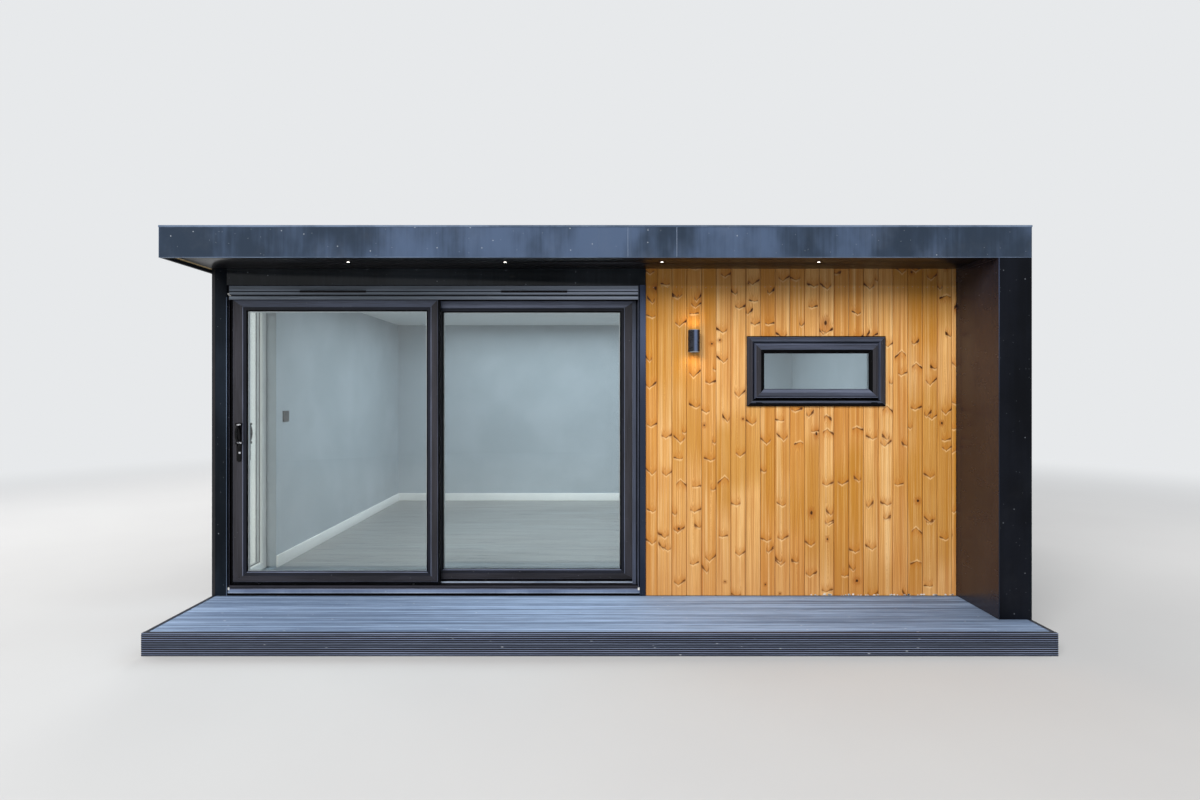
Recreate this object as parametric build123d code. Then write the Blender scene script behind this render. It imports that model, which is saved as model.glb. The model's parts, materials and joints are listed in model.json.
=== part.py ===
from build123d import *
import math
import os

# Garden office pod: an insulated flat-roofed garden room with a canopy over its front, a wing wall
# that closes the canopy's right end, a two-pane sliding patio door and a deck along the front.
# Millimetres, +Z up, the front faces -Y. The origin is on the ground under the middle of the whole.

# Driving sizes of the building
roof_width = 5250.0          # over the fascias, left to right
fascia_height = 195.0        # lower to upper edge of the front fascia
body_depth = 3700.0          # front wall face to back cladding face
canopy_depth = 450.0         # roof edge in front of the front wall face
eaves_overhang = 50.0        # roof edge past the side and back cladding
roof_fall = 60.0             # how much lower the roof is at the back
deck_depth = 663.0           # deck edge in front of the front wall face
deck_height = 130.0          # ground to the deck surface, the door's threshold and the wall bottoms

# Wall, floor and roof build-up
wall_thickness = 150.0
cladding_thickness = 22.0
cladding_foot = 50.0         # ground to the lower edge of the side and back cladding
cladding_lift = 2.0          # front cladding above the deck
base_height = 46.0
bearer_width = 95.0
bearer_count = 8
floor_finish = 36.0          # boarding and laminate above the structural floor
ceiling_thickness = 12.5
soffit_thickness = 9.0
fascia_thickness = 20.0
fascia_drop = 21.0           # fascia below the soffit
membrane_thickness = 5.0
kerb_height = 35.0           # raised roof edge above the membrane
kerb_width = 60.0
trim_thickness = 2.0
trim_lip = 10.0              # edge trim down the face of the fascia
panel_gap = 1.0              # between neighbouring panels of one material

# Deck
deck_board_width = 142.0
deck_board_thickness = 25.0
deck_board_gap = 5.0
wall_board_width = 124.0     # the board cut to fit along the wall
deck_end_setback = 50.0      # left deck end, in from the roof edge
fascia_board_thickness = 25.0
reed_count = 10
reed_pitch = 12.0
reed_width = 5.0
reed_depth = 3.0
reed_slope = 1.0             # drop of a reed's side over its depth
joist_width = 47.0
joist_count = 12

# Wing wall and corner
wing_thickness = 200.0
corner_post_width = 78.0

# Patio door, from the left: a sash that slides on the outer track and a fixed one behind it
door_width = 2774.0
door_height = 2086.0
door_setback = 10.0          # frame face behind the wall face
jamb_web = 11.0
jamb_face = 46.0
head_height = 70.0           # the part of the head above the tracks, which carries the vents
head_lip = 28.0
lip_thickness = 6.0
track_fin_thickness = 8.0     # fin between the two tracks
threshold_height = 50.0
sill_toe_height = 12.0       # recess under the nose of the threshold
sill_toe_depth = 8.0
sill_lip_height = 19.0       # lip in front of the sliding sash
track_rail_height = 15.0
track_rail_width = 6.0
platform_height = 25.0       # fixed sash's seat above the threshold
sash_thickness = 40.0
running_gap = 6.0            # between the sliding sash and anything it passes
sash_edge_gap = 5.0          # closed sash to the jamb
sash_lift = 8.0              # sliding sash above its rail
sash_top_gap = 12.0
sliding_width = 1408.0
lock_stile = 108.0
meeting_stile = 86.0
top_rail = 89.0
bottom_rail = 81.0
fixed_meeting_stile = 95.0
fixed_stile = 114.0
fixed_bottom_rail = 79.0
fixed_edge_gap = 2.0
meeting_overlap = 86.0       # how far the two meeting stiles lie behind each other
bead_width = 26.0
bead_drop = 6.0
bead_slope = 8.0
pane_thickness = 24.0
pane_edge = 10.0             # pane held in the frame's groove
groove_play = 2.0
roller_radius = 12.0
roller_width = 8.0
roller_pin_radius = 3.0
roller_inset = 180.0
roller_play = 0.3
vent_width = 445.0
vent_height = 20.0
vent_thickness = 8.0
vent_edge = 488.0            # frame edge to the near end of each vent
vent_chamfer = 2.6
vent_rise = 40.0             # vent centre below the top of the frame

# Door handles
handle_plate_width = 29.0
handle_plate_height = 263.0
handle_plate_thickness = 8.0
handle_plate_foot = 898.0    # above the deck
handle_plate_corner = 13.0
handle_edge = 43.0           # sash edge to the plate's near edge
handle_foot_width = 44.0     # crosswise foot at each end of the grip
handle_foot_height = 16.0
handle_foot_thickness = 12.0
grip_width = 15.0
grip_bar = 9.0
grip_reach = 46.0            # sash face to the outside of the grip's middle
grip_length = 142.0
grip_top_gap = 3.0           # plate's upper edge to the upper foot
key_radius = 8.5
key_height = 62.0            # above the plate's lower edge
key_proud = 3.0

# Trims round the door
head_panel_height = 110.0    # door frame to the soffit
cover_strip_width = 39.0
cover_strip_proud = 6.0

# Front window, top hung
window_width = 928.0
window_height = 469.0
window_share = 0.5841        # of the boarding's free width, to the left of the window
window_foot = 1403.0         # above the ground
window_frame_bar = 45.0
window_sash_bar = 66.0
window_proud = 22.0          # frame face in front of the cladding
window_sash_proud = 8.0      # sash face in front of its frame
window_depth = 70.0
window_stop = 12.0           # lip that the sash closes against
window_stop_depth = 24.0
window_gap = 2.0

# Side window by the left front corner
side_window_width = 413.0
side_window_frame_bar = 55.0
side_window_depth = 70.0
side_window_setback = 5.0

# Small fittings
downlight_count = 4
downlight_pitch = 1000.0
downlight_first = 1000.0     # from the left wall face
downlight_radius = 19.0
downlight_flange_radius = 24.0
downlight_flange = 2.0
downlight_play = 0.5
lamp_inset = 316.0           # from the door's cover strip
lamp_height = 1836.0
lamp_radius = 39.0
lamp_length = 147.0
lamp_wall = 3.0
lamp_recess = 40.0
lamp_standoff = 14.0
lamp_plate_width = 44.0
lamp_plate_height = 90.0
lamp_plate_thickness = 6.0
lamp_neck_width = 22.0
lamp_neck_height = 45.0
switch_size = 86.0
switch_thickness = 10.0
switch_depth = 705.0         # behind the front wall face
switch_height = 1309.0
skirting_height = 90.0
skirting_thickness = 15.0

# Gutter and downpipe
gutter_width = 112.0
gutter_depth = 75.0
gutter_wall = 3.0
gutter_foot = 12.0           # gutter floor above the lower edge of the back fascia
pipe_side = 65.0             # square downpipe
pipe_wall = 3.0
pipe_inset = 220.0           # pipe centre in from the roof edge
pipe_wall_gap = 12.0
pipe_foot = 60.0
pipe_neck = 90.0             # straight length under the gutter
clip_height = 30.0
clip_count = 2

# Places worked out from the sizes
front_y = (deck_depth - body_depth - eaves_overhang - gutter_width) / 2
back_y = front_y + body_depth
left_x = -roof_width / 2 + eaves_overhang
right_x = roof_width / 2 - eaves_overhang
roof_left = -roof_width / 2
roof_right = roof_width / 2
canopy_y = front_y - canopy_depth
eaves_y = back_y + eaves_overhang
deck_y = front_y - deck_depth
deck_left = roof_left + deck_end_setback
deck_right = roof_right
core_left = left_x + cladding_thickness
core_right = right_x - cladding_thickness
core_front = front_y + cladding_thickness
core_back = back_y - cladding_thickness
room_left = left_x + wall_thickness
room_right = right_x - wall_thickness
room_front = front_y + wall_thickness
room_back = back_y - wall_thickness
floor_top = deck_height + floor_finish
door_top = deck_height + door_height
soffit_height = door_top + head_panel_height
wall_top = soffit_height + soffit_thickness
fascia_foot = soffit_height - fascia_drop
roof_height = fascia_foot + fascia_height
face_left = roof_left + trim_thickness
face_right = roof_right - trim_thickness
face_front = canopy_y + trim_thickness
inner_left = roof_left + fascia_thickness
inner_right = roof_right - fascia_thickness
inner_front = canopy_y + fascia_thickness
inner_back = eaves_y - fascia_thickness
wing_left = roof_right - wing_thickness
door_left = core_left + corner_post_width
door_right = door_left + door_width
door_face = front_y + door_setback
strip_right = door_right + cover_strip_width
lamp_x = strip_right + lamp_inset
track_floor = deck_height + threshold_height
sash_y = door_face + lip_thickness + running_gap
fin_y = sash_y + sash_thickness + running_gap
fixed_y = fin_y + track_fin_thickness + running_gap
rear_lip_y = fixed_y + sash_thickness
sliding_left = door_left + jamb_web + sash_edge_gap
sliding_right = sliding_left + sliding_width
sash_foot = track_floor + track_rail_height + sash_lift
head_foot = door_top - head_height
sash_top = head_foot - sash_top_gap
fixed_left = sliding_right - meeting_overlap
fixed_right = door_right - jamb_web - fixed_edge_gap
fixed_foot = track_floor + platform_height
window_left = strip_right + window_share * (wing_left - strip_right - window_width)
window_x = (window_left, window_left + window_width)
window_z = (window_foot, window_foot + window_height)
side_window_y = (room_front, room_front + side_window_width)
side_window_z = (floor_top, door_top)


def block(x, y, z):
    """Box between its lower and upper limit on each axis."""
    return Pos(sum(x) / 2, sum(y) / 2, sum(z) / 2) * Box(x[1] - x[0], y[1] - y[0], z[1] - z[0])


def prism_x(points, x):
    """Outline of (y, z) points, carried from one x to the other."""
    outline = make_face(Polyline([(x[0], y, z) for y, z in points], close=True))
    return extrude(outline, x[1] - x[0], dir=(1, 0, 0))


def upright_rod(x, y, z, radius):
    """Round bar standing between two heights."""
    return Pos(x, y, sum(z) / 2) * Cylinder(radius, z[1] - z[0])


def grown(limits, amount):
    """The same limits, wider by amount at both ends."""
    return (limits[0] - amount, limits[1] + amount)


def roof_line(y):
    """Height of the structural roof's upper face, which falls to the back."""
    front_top = roof_height - trim_thickness - kerb_height - membrane_thickness
    return front_top - roof_fall * (y - inner_front) / (inner_back - inner_front)


def bevel(x, z, y, depth, inward):
    """Cutter that opens at 45 degrees to the face at y, inward being the direction into the frame."""
    face = Plane(((x[0] + x[1]) / 2, y, (z[0] + z[1]) / 2), x_dir=(1, 0, 0), z_dir=(0, inward, 0))
    mouth = face * Rectangle(x[1] - x[0] + 2 * depth, z[1] - z[0] + 2 * depth)
    return extrude(mouth, depth, taper=45)


def glazed_frame(x, z, light_x, light_z, y, bead):
    """Bars round a pane: a stepped, bevelled bead on the outer face and a groove that holds the pane."""
    pane_y = ((y[0] + y[1] - pane_thickness) / 2, (y[0] + y[1] + pane_thickness) / 2)
    frame = block(x, y, z)
    frame -= block(light_x, y, light_z)
    step_x = grown(light_x, bead)
    step_z = grown(light_z, bead)
    frame -= bevel(step_x, step_z, y[0], bead_drop, 1)
    slope = min(bead_slope, pane_y[0] - y[0] - bead_drop)
    if slope > 0:
        frame -= bevel(light_x, light_z, y[0] + bead_drop, slope, 1)
        frame -= bevel(light_x, light_z, y[1], slope, -1)
    groove_x = grown(light_x, pane_edge + groove_play)
    groove_z = grown(light_z, pane_edge + groove_play)
    return frame - block(groove_x, pane_y, groove_z)


def pane(light_x, light_z, y):
    """Sealed glass unit whose edges stand in the frame's groove."""
    middle = (y[0] + y[1]) / 2
    pane_y = (middle - pane_thickness / 2, middle + pane_thickness / 2)
    return block(grown(light_x, pane_edge), pane_y, grown(light_z, pane_edge))


def make_base_frame():
    """Bearers under the floor and joists under the deck."""
    pieces = []
    pitch = (core_back - core_front - bearer_width) / (bearer_count - 1)
    for i in range(bearer_count):
        y = core_front + i * pitch
        pieces.append(block((core_left, core_right), (y, y + bearer_width), (0, base_height)))
    joist_y = (deck_y + fascia_board_thickness, core_front - panel_gap)
    first = deck_left + fascia_board_thickness
    pitch = (deck_right - fascia_board_thickness - joist_width - first) / (joist_count - 1)
    for i in range(joist_count):
        x = first + i * pitch
        top = deck_height - deck_board_thickness
        pieces.append(block((x, x + joist_width), joist_y, (0, top)))
    return Compound(children=pieces)


def make_floor_panel():
    """Insulated structural floor that the walls stand on."""
    return block((core_left, core_right), (core_front, core_back), (base_height, deck_height))


def make_laminate_floor():
    return block((room_left, room_right), (room_front, room_back), (deck_height, floor_top))


def make_left_wall():
    """Left wall core, open at its front end for the side window."""
    wall = block((core_left, room_left), (room_front, room_back), (deck_height, wall_top))
    return wall - block((core_left, room_left), side_window_y, side_window_z)


def make_right_wall():
    return block((room_right, core_right), (room_front, room_back), (deck_height, wall_top))


def make_back_wall():
    return block((core_left, core_right), (room_back, core_back), (deck_height, wall_top))


def make_front_wall():
    """Front wall core beside the door, with the window's hole."""
    wall = block((door_right, core_right), (core_front, room_front), (deck_height, wall_top))
    return wall - block(window_x, (core_front, room_front), window_z)


def make_door_lintel():
    return block((door_left, door_right), (core_front, room_front), (door_top, wall_top))


def make_corner_post():
    return block((core_left, door_left), (front_y, room_front), (deck_height, wall_top))


def make_wing_wall():
    """Wall that carries the right end of the canopy, let in behind the fascias at its top."""
    wing = block((wing_left, face_right), (face_front, core_front), (deck_height, fascia_foot))
    tongue = block((wing_left, inner_right), (inner_front, core_front), (fascia_foot, wall_top))
    return wing + tongue


def make_front_cladding():
    """Upright boards as one sheet, from the door's cover strip to the wing."""
    sheet = block(
        (strip_right, wing_left), (front_y, core_front), (deck_height + cladding_lift, wall_top)
    )
    return sheet - block(window_x, (front_y, core_front), window_z)


def make_side_cladding():
    """Dark panels on the two sides and the back."""
    height = (cladding_foot, wall_top)
    left = block((left_x, core_left), (front_y, back_y), height)
    left -= block((left_x, core_left), side_window_y, side_window_z)
    right = block((core_right, right_x), (core_front, back_y), height)
    back = block((core_left + panel_gap, core_right - panel_gap), (core_back, back_y), height)
    return Compound(children=[left, right, back])


def make_door_head_panel():
    return block((door_left, strip_right), (front_y, core_front), (door_top, wall_top))


def make_door_cover_strip():
    strip_y = (front_y - cover_strip_proud, core_front)
    return block((door_right, strip_right), strip_y, (deck_height, door_top))


def downlight_places():
    """Centres of the lights in the canopy, midway between the wall and the fascia."""
    y = (inner_front + front_y) / 2
    return [(left_x + downlight_first + i * downlight_pitch, y) for i in range(downlight_count)]


def make_soffit():
    """Board under the canopy, drilled for the downlights."""
    board = block((left_x, wing_left), (inner_front, front_y), (soffit_height, wall_top))
    for x, y in downlight_places():
        board -= upright_rod(x, y, (soffit_height, wall_top), downlight_radius + downlight_play)
    return board


def make_downlights():
    """Small recessed lamps, each with a flange under the soffit."""
    lamps = []
    for x, y in downlight_places():
        body = upright_rod(x, y, (soffit_height, wall_top), downlight_radius)
        flange_z = (soffit_height - downlight_flange, soffit_height)
        lamps.append(body + upright_rod(x, y, flange_z, downlight_flange_radius))
    return Compound(children=lamps)


def make_eaves_strips():
    """Timber strips that close the small overhang at the sides and the back."""
    height = (soffit_height, wall_top)
    left = block((inner_left, left_x - panel_gap), (inner_front, inner_back), height)
    right = block((right_x, inner_right), (core_front, inner_back), height)
    back = block((left_x, right_x - panel_gap), (back_y, inner_back), height)
    return Compound(children=[left, right, back])


def make_ceiling():
    height = (wall_top - ceiling_thickness, wall_top)
    return block((room_left, room_right), (room_front, room_back), height)


def make_roof_panel():
    """Insulated roof, level below and falling to the back above."""
    outline = [
        (inner_front, wall_top),
        (inner_back, wall_top),
        (inner_back, roof_line(inner_back)),
        (inner_front, roof_line(inner_front)),
    ]
    return prism_x(outline, (inner_left, inner_right))


def make_roof_membrane():
    """Rubber sheet that laps over the back fascia into the gutter."""
    outline = [
        (inner_front, roof_line(inner_front)),
        (eaves_y, roof_line(eaves_y)),
        (eaves_y, roof_line(eaves_y) + membrane_thickness),
        (inner_front, roof_line(inner_front) + membrane_thickness),
    ]
    return prism_x(outline, (inner_left, inner_right))


def kerb_line(y):
    """Height of the fascias' upper edge under the trim."""
    return roof_line(y) + membrane_thickness + kerb_height


def make_fascia_front():
    height = (fascia_foot, kerb_line(inner_front))
    return block((face_left, face_right), (face_front, inner_front), height)


def make_fascia_sides():
    outline = [
        (inner_front, fascia_foot),
        (eaves_y, fascia_foot),
        (eaves_y, kerb_line(eaves_y)),
        (inner_front, kerb_line(inner_front)),
    ]
    left = prism_x(outline, (face_left, inner_left))
    right = prism_x(outline, (inner_right, face_right))
    return Compound(children=[left, right])


def make_fascia_back():
    outline = [
        (inner_back, fascia_foot),
        (eaves_y, fascia_foot),
        (eaves_y, roof_line(eaves_y)),
        (inner_back, roof_line(inner_back)),
    ]
    return prism_x(outline, (inner_left, inner_right))


def make_roof_edge_trim():
    """Raised kerb and folded cap along the front and both sides."""
    cap = trim_thickness
    front_top = kerb_line(inner_front)
    front = block((face_left, face_right), (face_front, canopy_y + kerb_width), (front_top, front_top + cap))
    lip_z = (front_top - trim_lip, front_top + cap)
    front += block((roof_left, roof_right), (canopy_y, face_front), lip_z)
    kerb_y = (inner_front, canopy_y + kerb_width)
    kerb = [(kerb_y[0], roof_line(kerb_y[0]) + membrane_thickness)]
    kerb += [(kerb_y[1], roof_line(kerb_y[1]) + membrane_thickness)]
    kerb += [(kerb_y[1], front_top), (kerb_y[0], front_top)]
    front += prism_x(kerb, (inner_left, inner_right))
    side_cap = [
        (inner_front, front_top),
        (eaves_y, kerb_line(eaves_y)),
        (eaves_y, kerb_line(eaves_y) + cap),
        (inner_front, front_top + cap),
    ]
    side_lip = [
        (face_front, front_top - trim_lip),
        (inner_front, front_top - trim_lip),
        (eaves_y, kerb_line(eaves_y) - trim_lip),
        (eaves_y, kerb_line(eaves_y) + cap),
        (inner_front, front_top + cap),
        (face_front, front_top + cap),
    ]
    side_kerb = [
        (kerb_y[0], roof_line(kerb_y[0]) + membrane_thickness),
        (eaves_y, roof_line(eaves_y) + membrane_thickness),
        (eaves_y, kerb_line(eaves_y)),
        (kerb_y[0], front_top),
    ]
    trim = front
    trim += prism_x(side_cap, (face_left, roof_left + kerb_width))
    trim += prism_x(side_cap, (roof_right - kerb_width, face_right))
    trim += prism_x(side_kerb, (inner_left, roof_left + kerb_width))
    trim += prism_x(side_kerb, (roof_right - kerb_width, inner_right))
    trim += prism_x(side_lip, (roof_left, face_left))
    trim += prism_x(side_lip, (face_right, roof_right))
    return trim


def make_deck_boards():
    """Boards along the front, the first cut to fit against the wall and the last at the fascia."""
    x = (deck_left + fascia_board_thickness + deck_board_gap,
         deck_right - fascia_board_thickness - deck_board_gap)
    z = (deck_height - deck_board_thickness, deck_height)
    front_edge = deck_y + fascia_board_thickness + deck_board_gap
    boards = []
    far = front_y
    width = wall_board_width
    while far - front_edge > deck_board_gap:
        near = max(far - width, front_edge)
        boards.append(block(x, (near, far), z))
        far = near - deck_board_gap
        width = deck_board_width
    return Compound(children=boards)


def reeded_outline(face, inner):
    """Board on edge as (distance, height) points, with grooves down its outer face."""
    outward = 1 if face > inner else -1
    points = [(inner, 0), (face, 0)]
    first = (deck_height - (reed_count - 1) * reed_pitch - reed_width) / 2
    for i in range(reed_count):
        low = first + i * reed_pitch
        floor = face - outward * reed_depth
        high = low + reed_width
        points += [(face, low), (floor, low + reed_slope), (floor, high - reed_slope), (face, high)]
    return points + [(face, deck_height), (inner, deck_height)]


def make_deck_fascia():
    """Reeded boards on edge along the front and both ends of the deck."""
    inner_y = deck_y + fascia_board_thickness
    front = prism_x(reeded_outline(deck_y, inner_y), (deck_left, deck_right))
    end_y = (inner_y + panel_gap, front_y - panel_gap)
    ends = []
    for face, side in ((deck_left, 1), (deck_right, -1)):
        inner = face + side * fascia_board_thickness
        points = [(x, end_y[0], z) for x, z in reeded_outline(face, inner)]
        outline = make_face(Polyline(points, close=True))
        ends.append(extrude(outline, end_y[1] - end_y[0], dir=(0, 1, 0)))
    return Compound(children=[front, *ends])


def make_door_jambs():
    """Two uprights with the fin between the tracks and the lip behind them."""
    jambs = []
    fin_z = (track_floor, head_foot - head_lip)
    fin = (fin_y, fin_y + track_fin_thickness)
    for edge, side in ((door_left, 1), (door_right, -1)):
        web_x = sorted((edge, edge + side * jamb_web))
        face_x = sorted((edge, edge + side * jamb_face))
        jamb = block(web_x, (door_face, room_front), (track_floor, door_top))
        jamb += block(face_x, fin, fin_z)
        jamb += block(face_x, (rear_lip_y, room_front), fin_z)
        jambs.append(jamb)
    return Compound(children=jambs)


def make_door_head():
    """Top of the frame: a vent box with three lips that guide the sashes."""
    x = (door_left + jamb_web, door_right - jamb_web)
    lip_z = (head_foot - head_lip, head_foot)
    head = block(x, (door_face, room_front), (head_foot, door_top))
    head += block(x, (door_face, door_face + lip_thickness), lip_z)
    head += block(x, (fin_y, fin_y + track_fin_thickness), lip_z)
    return head + block(x, (rear_lip_y, room_front), lip_z)


def make_door_threshold():
    """Bottom of the frame: nose, lip, the sliding sash's rail, the fin and the fixed sash's seat."""
    nose_foot = deck_height + sill_toe_height
    toe = door_face + sill_toe_depth
    outline = [(toe, deck_height), (room_front, deck_height), (room_front, track_floor)]
    outline += [(door_face, track_floor), (door_face, nose_foot), (toe, nose_foot)]
    sill = prism_x(outline, (door_left, door_right))
    rail_middle = sash_y + sash_thickness / 2
    rail_y = (rail_middle - track_rail_width / 2, rail_middle + track_rail_width / 2)
    rail_x = (door_left + jamb_web, door_right - jamb_web)
    seat_x = (door_left + jamb_face, door_right - jamb_face)
    sill += block(rail_x, rail_y, (track_floor, track_floor + track_rail_height))
    lip_y = (door_face, door_face + lip_thickness)
    sill += block(rail_x, lip_y, (track_floor, track_floor + sill_lip_height))
    return sill + block(seat_x, (fin_y, room_front), (track_floor, fixed_foot))


def make_trickle_vents():
    """Long slotted covers on the face of the head."""
    vents = []
    middle = door_top - vent_rise
    z = (middle - vent_height / 2, middle + vent_height / 2)
    for near in (door_left + vent_edge, door_right - vent_edge - vent_width):
        vent = block((near, near + vent_width), (door_face - vent_thickness, door_face), z)
        vents.append(chamfer(vent.edges().group_by(Axis.Y)[0], vent_chamfer))
    return Compound(children=vents)


def sliding_light():
    """Limits of the visible glass in the sliding sash."""
    x = (sliding_left + lock_stile, sliding_right - meeting_stile)
    return x, (sash_foot + bottom_rail, sash_top - top_rail)


def roller_places():
    return (sliding_left + roller_inset, sliding_right - roller_inset)


def make_sliding_sash():
    """Sliding frame with two pockets in its lower edge for the rollers."""
    light_x, light_z = sliding_light()
    y = (sash_y, sash_y + sash_thickness)
    sash = glazed_frame((sliding_left, sliding_right), (sash_foot, sash_top), light_x, light_z, y, bead_width)
    middle = sash_y + sash_thickness / 2
    pocket = roller_radius + running_gap
    wheel_z = track_floor + track_rail_height + roller_play + roller_radius
    for x in roller_places():
        sash -= block(grown((x, x), pocket), grown((middle, middle), roller_width), (sash_foot, wheel_z + pocket))
    return sash


def make_sash_rollers():
    """Grooveless wheels on pins that end against the walls of their pockets."""
    middle = sash_y + sash_thickness / 2
    wheel_z = track_floor + track_rail_height + roller_play + roller_radius
    wheels = []
    for x in roller_places():
        wheel = Pos(x, middle, wheel_z) * Rot(90, 0, 0) * Cylinder(roller_radius, roller_width)
        wheel += Pos(x, middle, wheel_z) * Rot(90, 0, 0) * Cylinder(roller_pin_radius, 2 * roller_width)
        wheels.append(wheel)
    return Compound(children=wheels)


def make_sliding_glass():
    light_x, light_z = sliding_light()
    return pane(light_x, light_z, (sash_y, sash_y + sash_thickness))


def fixed_light():
    """Limits of the visible glass in the fixed sash."""
    x = (fixed_left + fixed_meeting_stile, fixed_right - fixed_stile)
    return x, (fixed_foot + fixed_bottom_rail, sash_top - top_rail)


def make_fixed_sash():
    light_x, light_z = fixed_light()
    y = (fixed_y, fixed_y + sash_thickness)
    return glazed_frame((fixed_left, fixed_right), (fixed_foot, sash_top), light_x, light_z, y, bead_width)


def make_fixed_glass():
    light_x, light_z = fixed_light()
    return pane(light_x, light_z, (fixed_y, fixed_y + sash_thickness))


def grip(x, face, outward, low, high):
    """Flat bar that arches off the sash from its lower to its upper foot."""
    middle = (low + high) / 2
    left = x - grip_width / 2
    reach = face + outward * grip_reach
    outer = ThreePointArc((left, face, low), (left, reach, middle), (left, face, high))
    inner = ThreePointArc(
        (left, face, high - grip_bar), (left, reach - outward * grip_bar, middle), (left, face, low + grip_bar)
    )
    outline = make_face([outer, Line(outer @ 1, inner @ 0), inner, Line(inner @ 1, outer @ 0)])
    return extrude(outline, grip_width, dir=(1, 0, 0))


def handle(face, outward):
    """Back plate with a key cylinder and an arched grip, standing off the sash in the direction outward."""
    x = sliding_left + handle_edge + handle_plate_width / 2
    z = (deck_height + handle_plate_foot, deck_height + handle_plate_foot + handle_plate_height)
    plate_y = sorted((face, face + outward * handle_plate_thickness))
    plate = block(grown((x, x), handle_plate_width / 2), plate_y, z)
    plate = fillet(plate.edges().filter_by(Axis.Y), handle_plate_corner)
    high = z[1] - grip_top_gap
    low = high - grip_length
    plate += grip(x, face, outward, low, high)
    foot_y = sorted((face, face + outward * handle_foot_thickness))
    for foot in (low, high - handle_foot_height):
        plate += block(grown((x, x), handle_foot_width / 2), foot_y, (foot, foot + handle_foot_height))
    key_depth = handle_plate_thickness + key_proud
    key_place = (x, face + outward * key_depth / 2, z[0] + key_height)
    return plate + Pos(*key_place) * Rot(90, 0, 0) * Cylinder(key_radius, key_depth)


def make_door_handles():
    outer = handle(sash_y, -1)
    inner = handle(sash_y + sash_thickness, 1)
    return Compound(children=[outer, inner])


def window_opening():
    """Limits of the hole in the front window's frame."""
    return grown(window_x, -window_frame_bar), grown(window_z, -window_frame_bar)


def window_stop_y():
    frame_back = front_y - window_proud + window_depth
    return (frame_back - window_stop_depth, frame_back)


def make_window_frame():
    """Outer frame, proud of the cladding, with a lip inside that the sash closes against."""
    hole_x, hole_z = window_opening()
    y = (front_y - window_proud, window_stop_y()[1])
    frame = block(window_x, y, window_z)
    frame = chamfer(frame.edges().group_by(Axis.Y)[0], bead_drop)
    frame -= block(hole_x, (y[0], window_stop_y()[0]), hole_z)
    frame -= bevel(hole_x, hole_z, y[0], bead_drop, 1)
    return frame - block(grown(hole_x, -window_stop), y, grown(hole_z, -window_stop))


def window_sash_limits():
    hole_x, hole_z = window_opening()
    x = grown(hole_x, -window_gap)
    z = grown(hole_z, -window_gap)
    y = (front_y - window_proud - window_sash_proud, window_stop_y()[0])
    return x, y, z


def make_window_sash():
    x, y, z = window_sash_limits()
    light_x = grown(x, -window_sash_bar)
    light_z = grown(z, -window_sash_bar)
    return glazed_frame(x, z, light_x, light_z, y, bead_width)


def make_window_glass():
    x, y, z = window_sash_limits()
    return pane(grown(x, -window_sash_bar), grown(z, -window_sash_bar), y)


def turned_to_left_wall(shape, width_middle):
    """Carries a piece made facing the front to the left side, its middle at width_middle on Y."""
    return Pos(left_x + side_window_setback, width_middle, 0) * Rot(0, 0, -90) * shape


def side_window_limits():
    half = side_window_width / 2
    return (-half, half), side_window_z, (0, side_window_depth)


def make_side_window_frame():
    x, z, y = side_window_limits()
    light_x = grown(x, -side_window_frame_bar)
    light_z = grown(z, -side_window_frame_bar)
    frame = glazed_frame(x, z, light_x, light_z, y, bead_width)
    return turned_to_left_wall(frame, sum(side_window_y) / 2)


def make_side_window_glass():
    x, z, y = side_window_limits()
    glass = pane(grown(x, -side_window_frame_bar), grown(z, -side_window_frame_bar), y)
    return turned_to_left_wall(glass, sum(side_window_y) / 2)


def make_wall_light():
    """Up and down lamp: a tube, open at both ends, on a plate against the cladding."""
    middle_y = front_y - lamp_standoff - lamp_radius
    z = (lamp_height - lamp_length / 2, lamp_height + lamp_length / 2)
    tube = upright_rod(lamp_x, middle_y, z, lamp_radius)
    bore = lamp_radius - lamp_wall
    tube -= upright_rod(lamp_x, middle_y, (z[0], z[0] + lamp_recess), bore)
    tube -= upright_rod(lamp_x, middle_y, (z[1] - lamp_recess, z[1]), bore)
    plate_x = (lamp_x - lamp_plate_width / 2, lamp_x + lamp_plate_width / 2)
    plate_z = (lamp_height - lamp_plate_height / 2, lamp_height + lamp_plate_height / 2)
    plate = block(plate_x, (front_y - lamp_plate_thickness, front_y), plate_z)
    neck_x = (lamp_x - lamp_neck_width / 2, lamp_x + lamp_neck_width / 2)
    neck_z = (lamp_height - lamp_neck_height / 2, lamp_height + lamp_neck_height / 2)
    neck = block(neck_x, (middle_y, front_y - lamp_plate_thickness), neck_z)
    return tube + neck + plate


def make_skirting():
    """White boards along the foot of the inner walls, cut clear of each other at the corners."""
    z = (floor_top, floor_top + skirting_height)
    t = skirting_thickness
    left = block((room_left, room_left + t), (side_window_y[1], room_back), z)
    right = block((room_right - t, room_right), (room_front, room_back), z)
    clear = t + panel_gap
    back = block((room_left + clear, room_right - clear), (room_back - t, room_back), z)
    front = block((door_right, room_right - clear), (room_front, room_front + t), z)
    return Compound(children=[left, right, back, front])


def make_light_switch():
    half = switch_size / 2
    y = (front_y + switch_depth - half, front_y + switch_depth + half)
    z = (switch_height - half, switch_height + half)
    plate = block((room_left, room_left + switch_thickness), y, z)
    return chamfer(plate.edges().group_by(Axis.X)[-1], trim_thickness)


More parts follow.
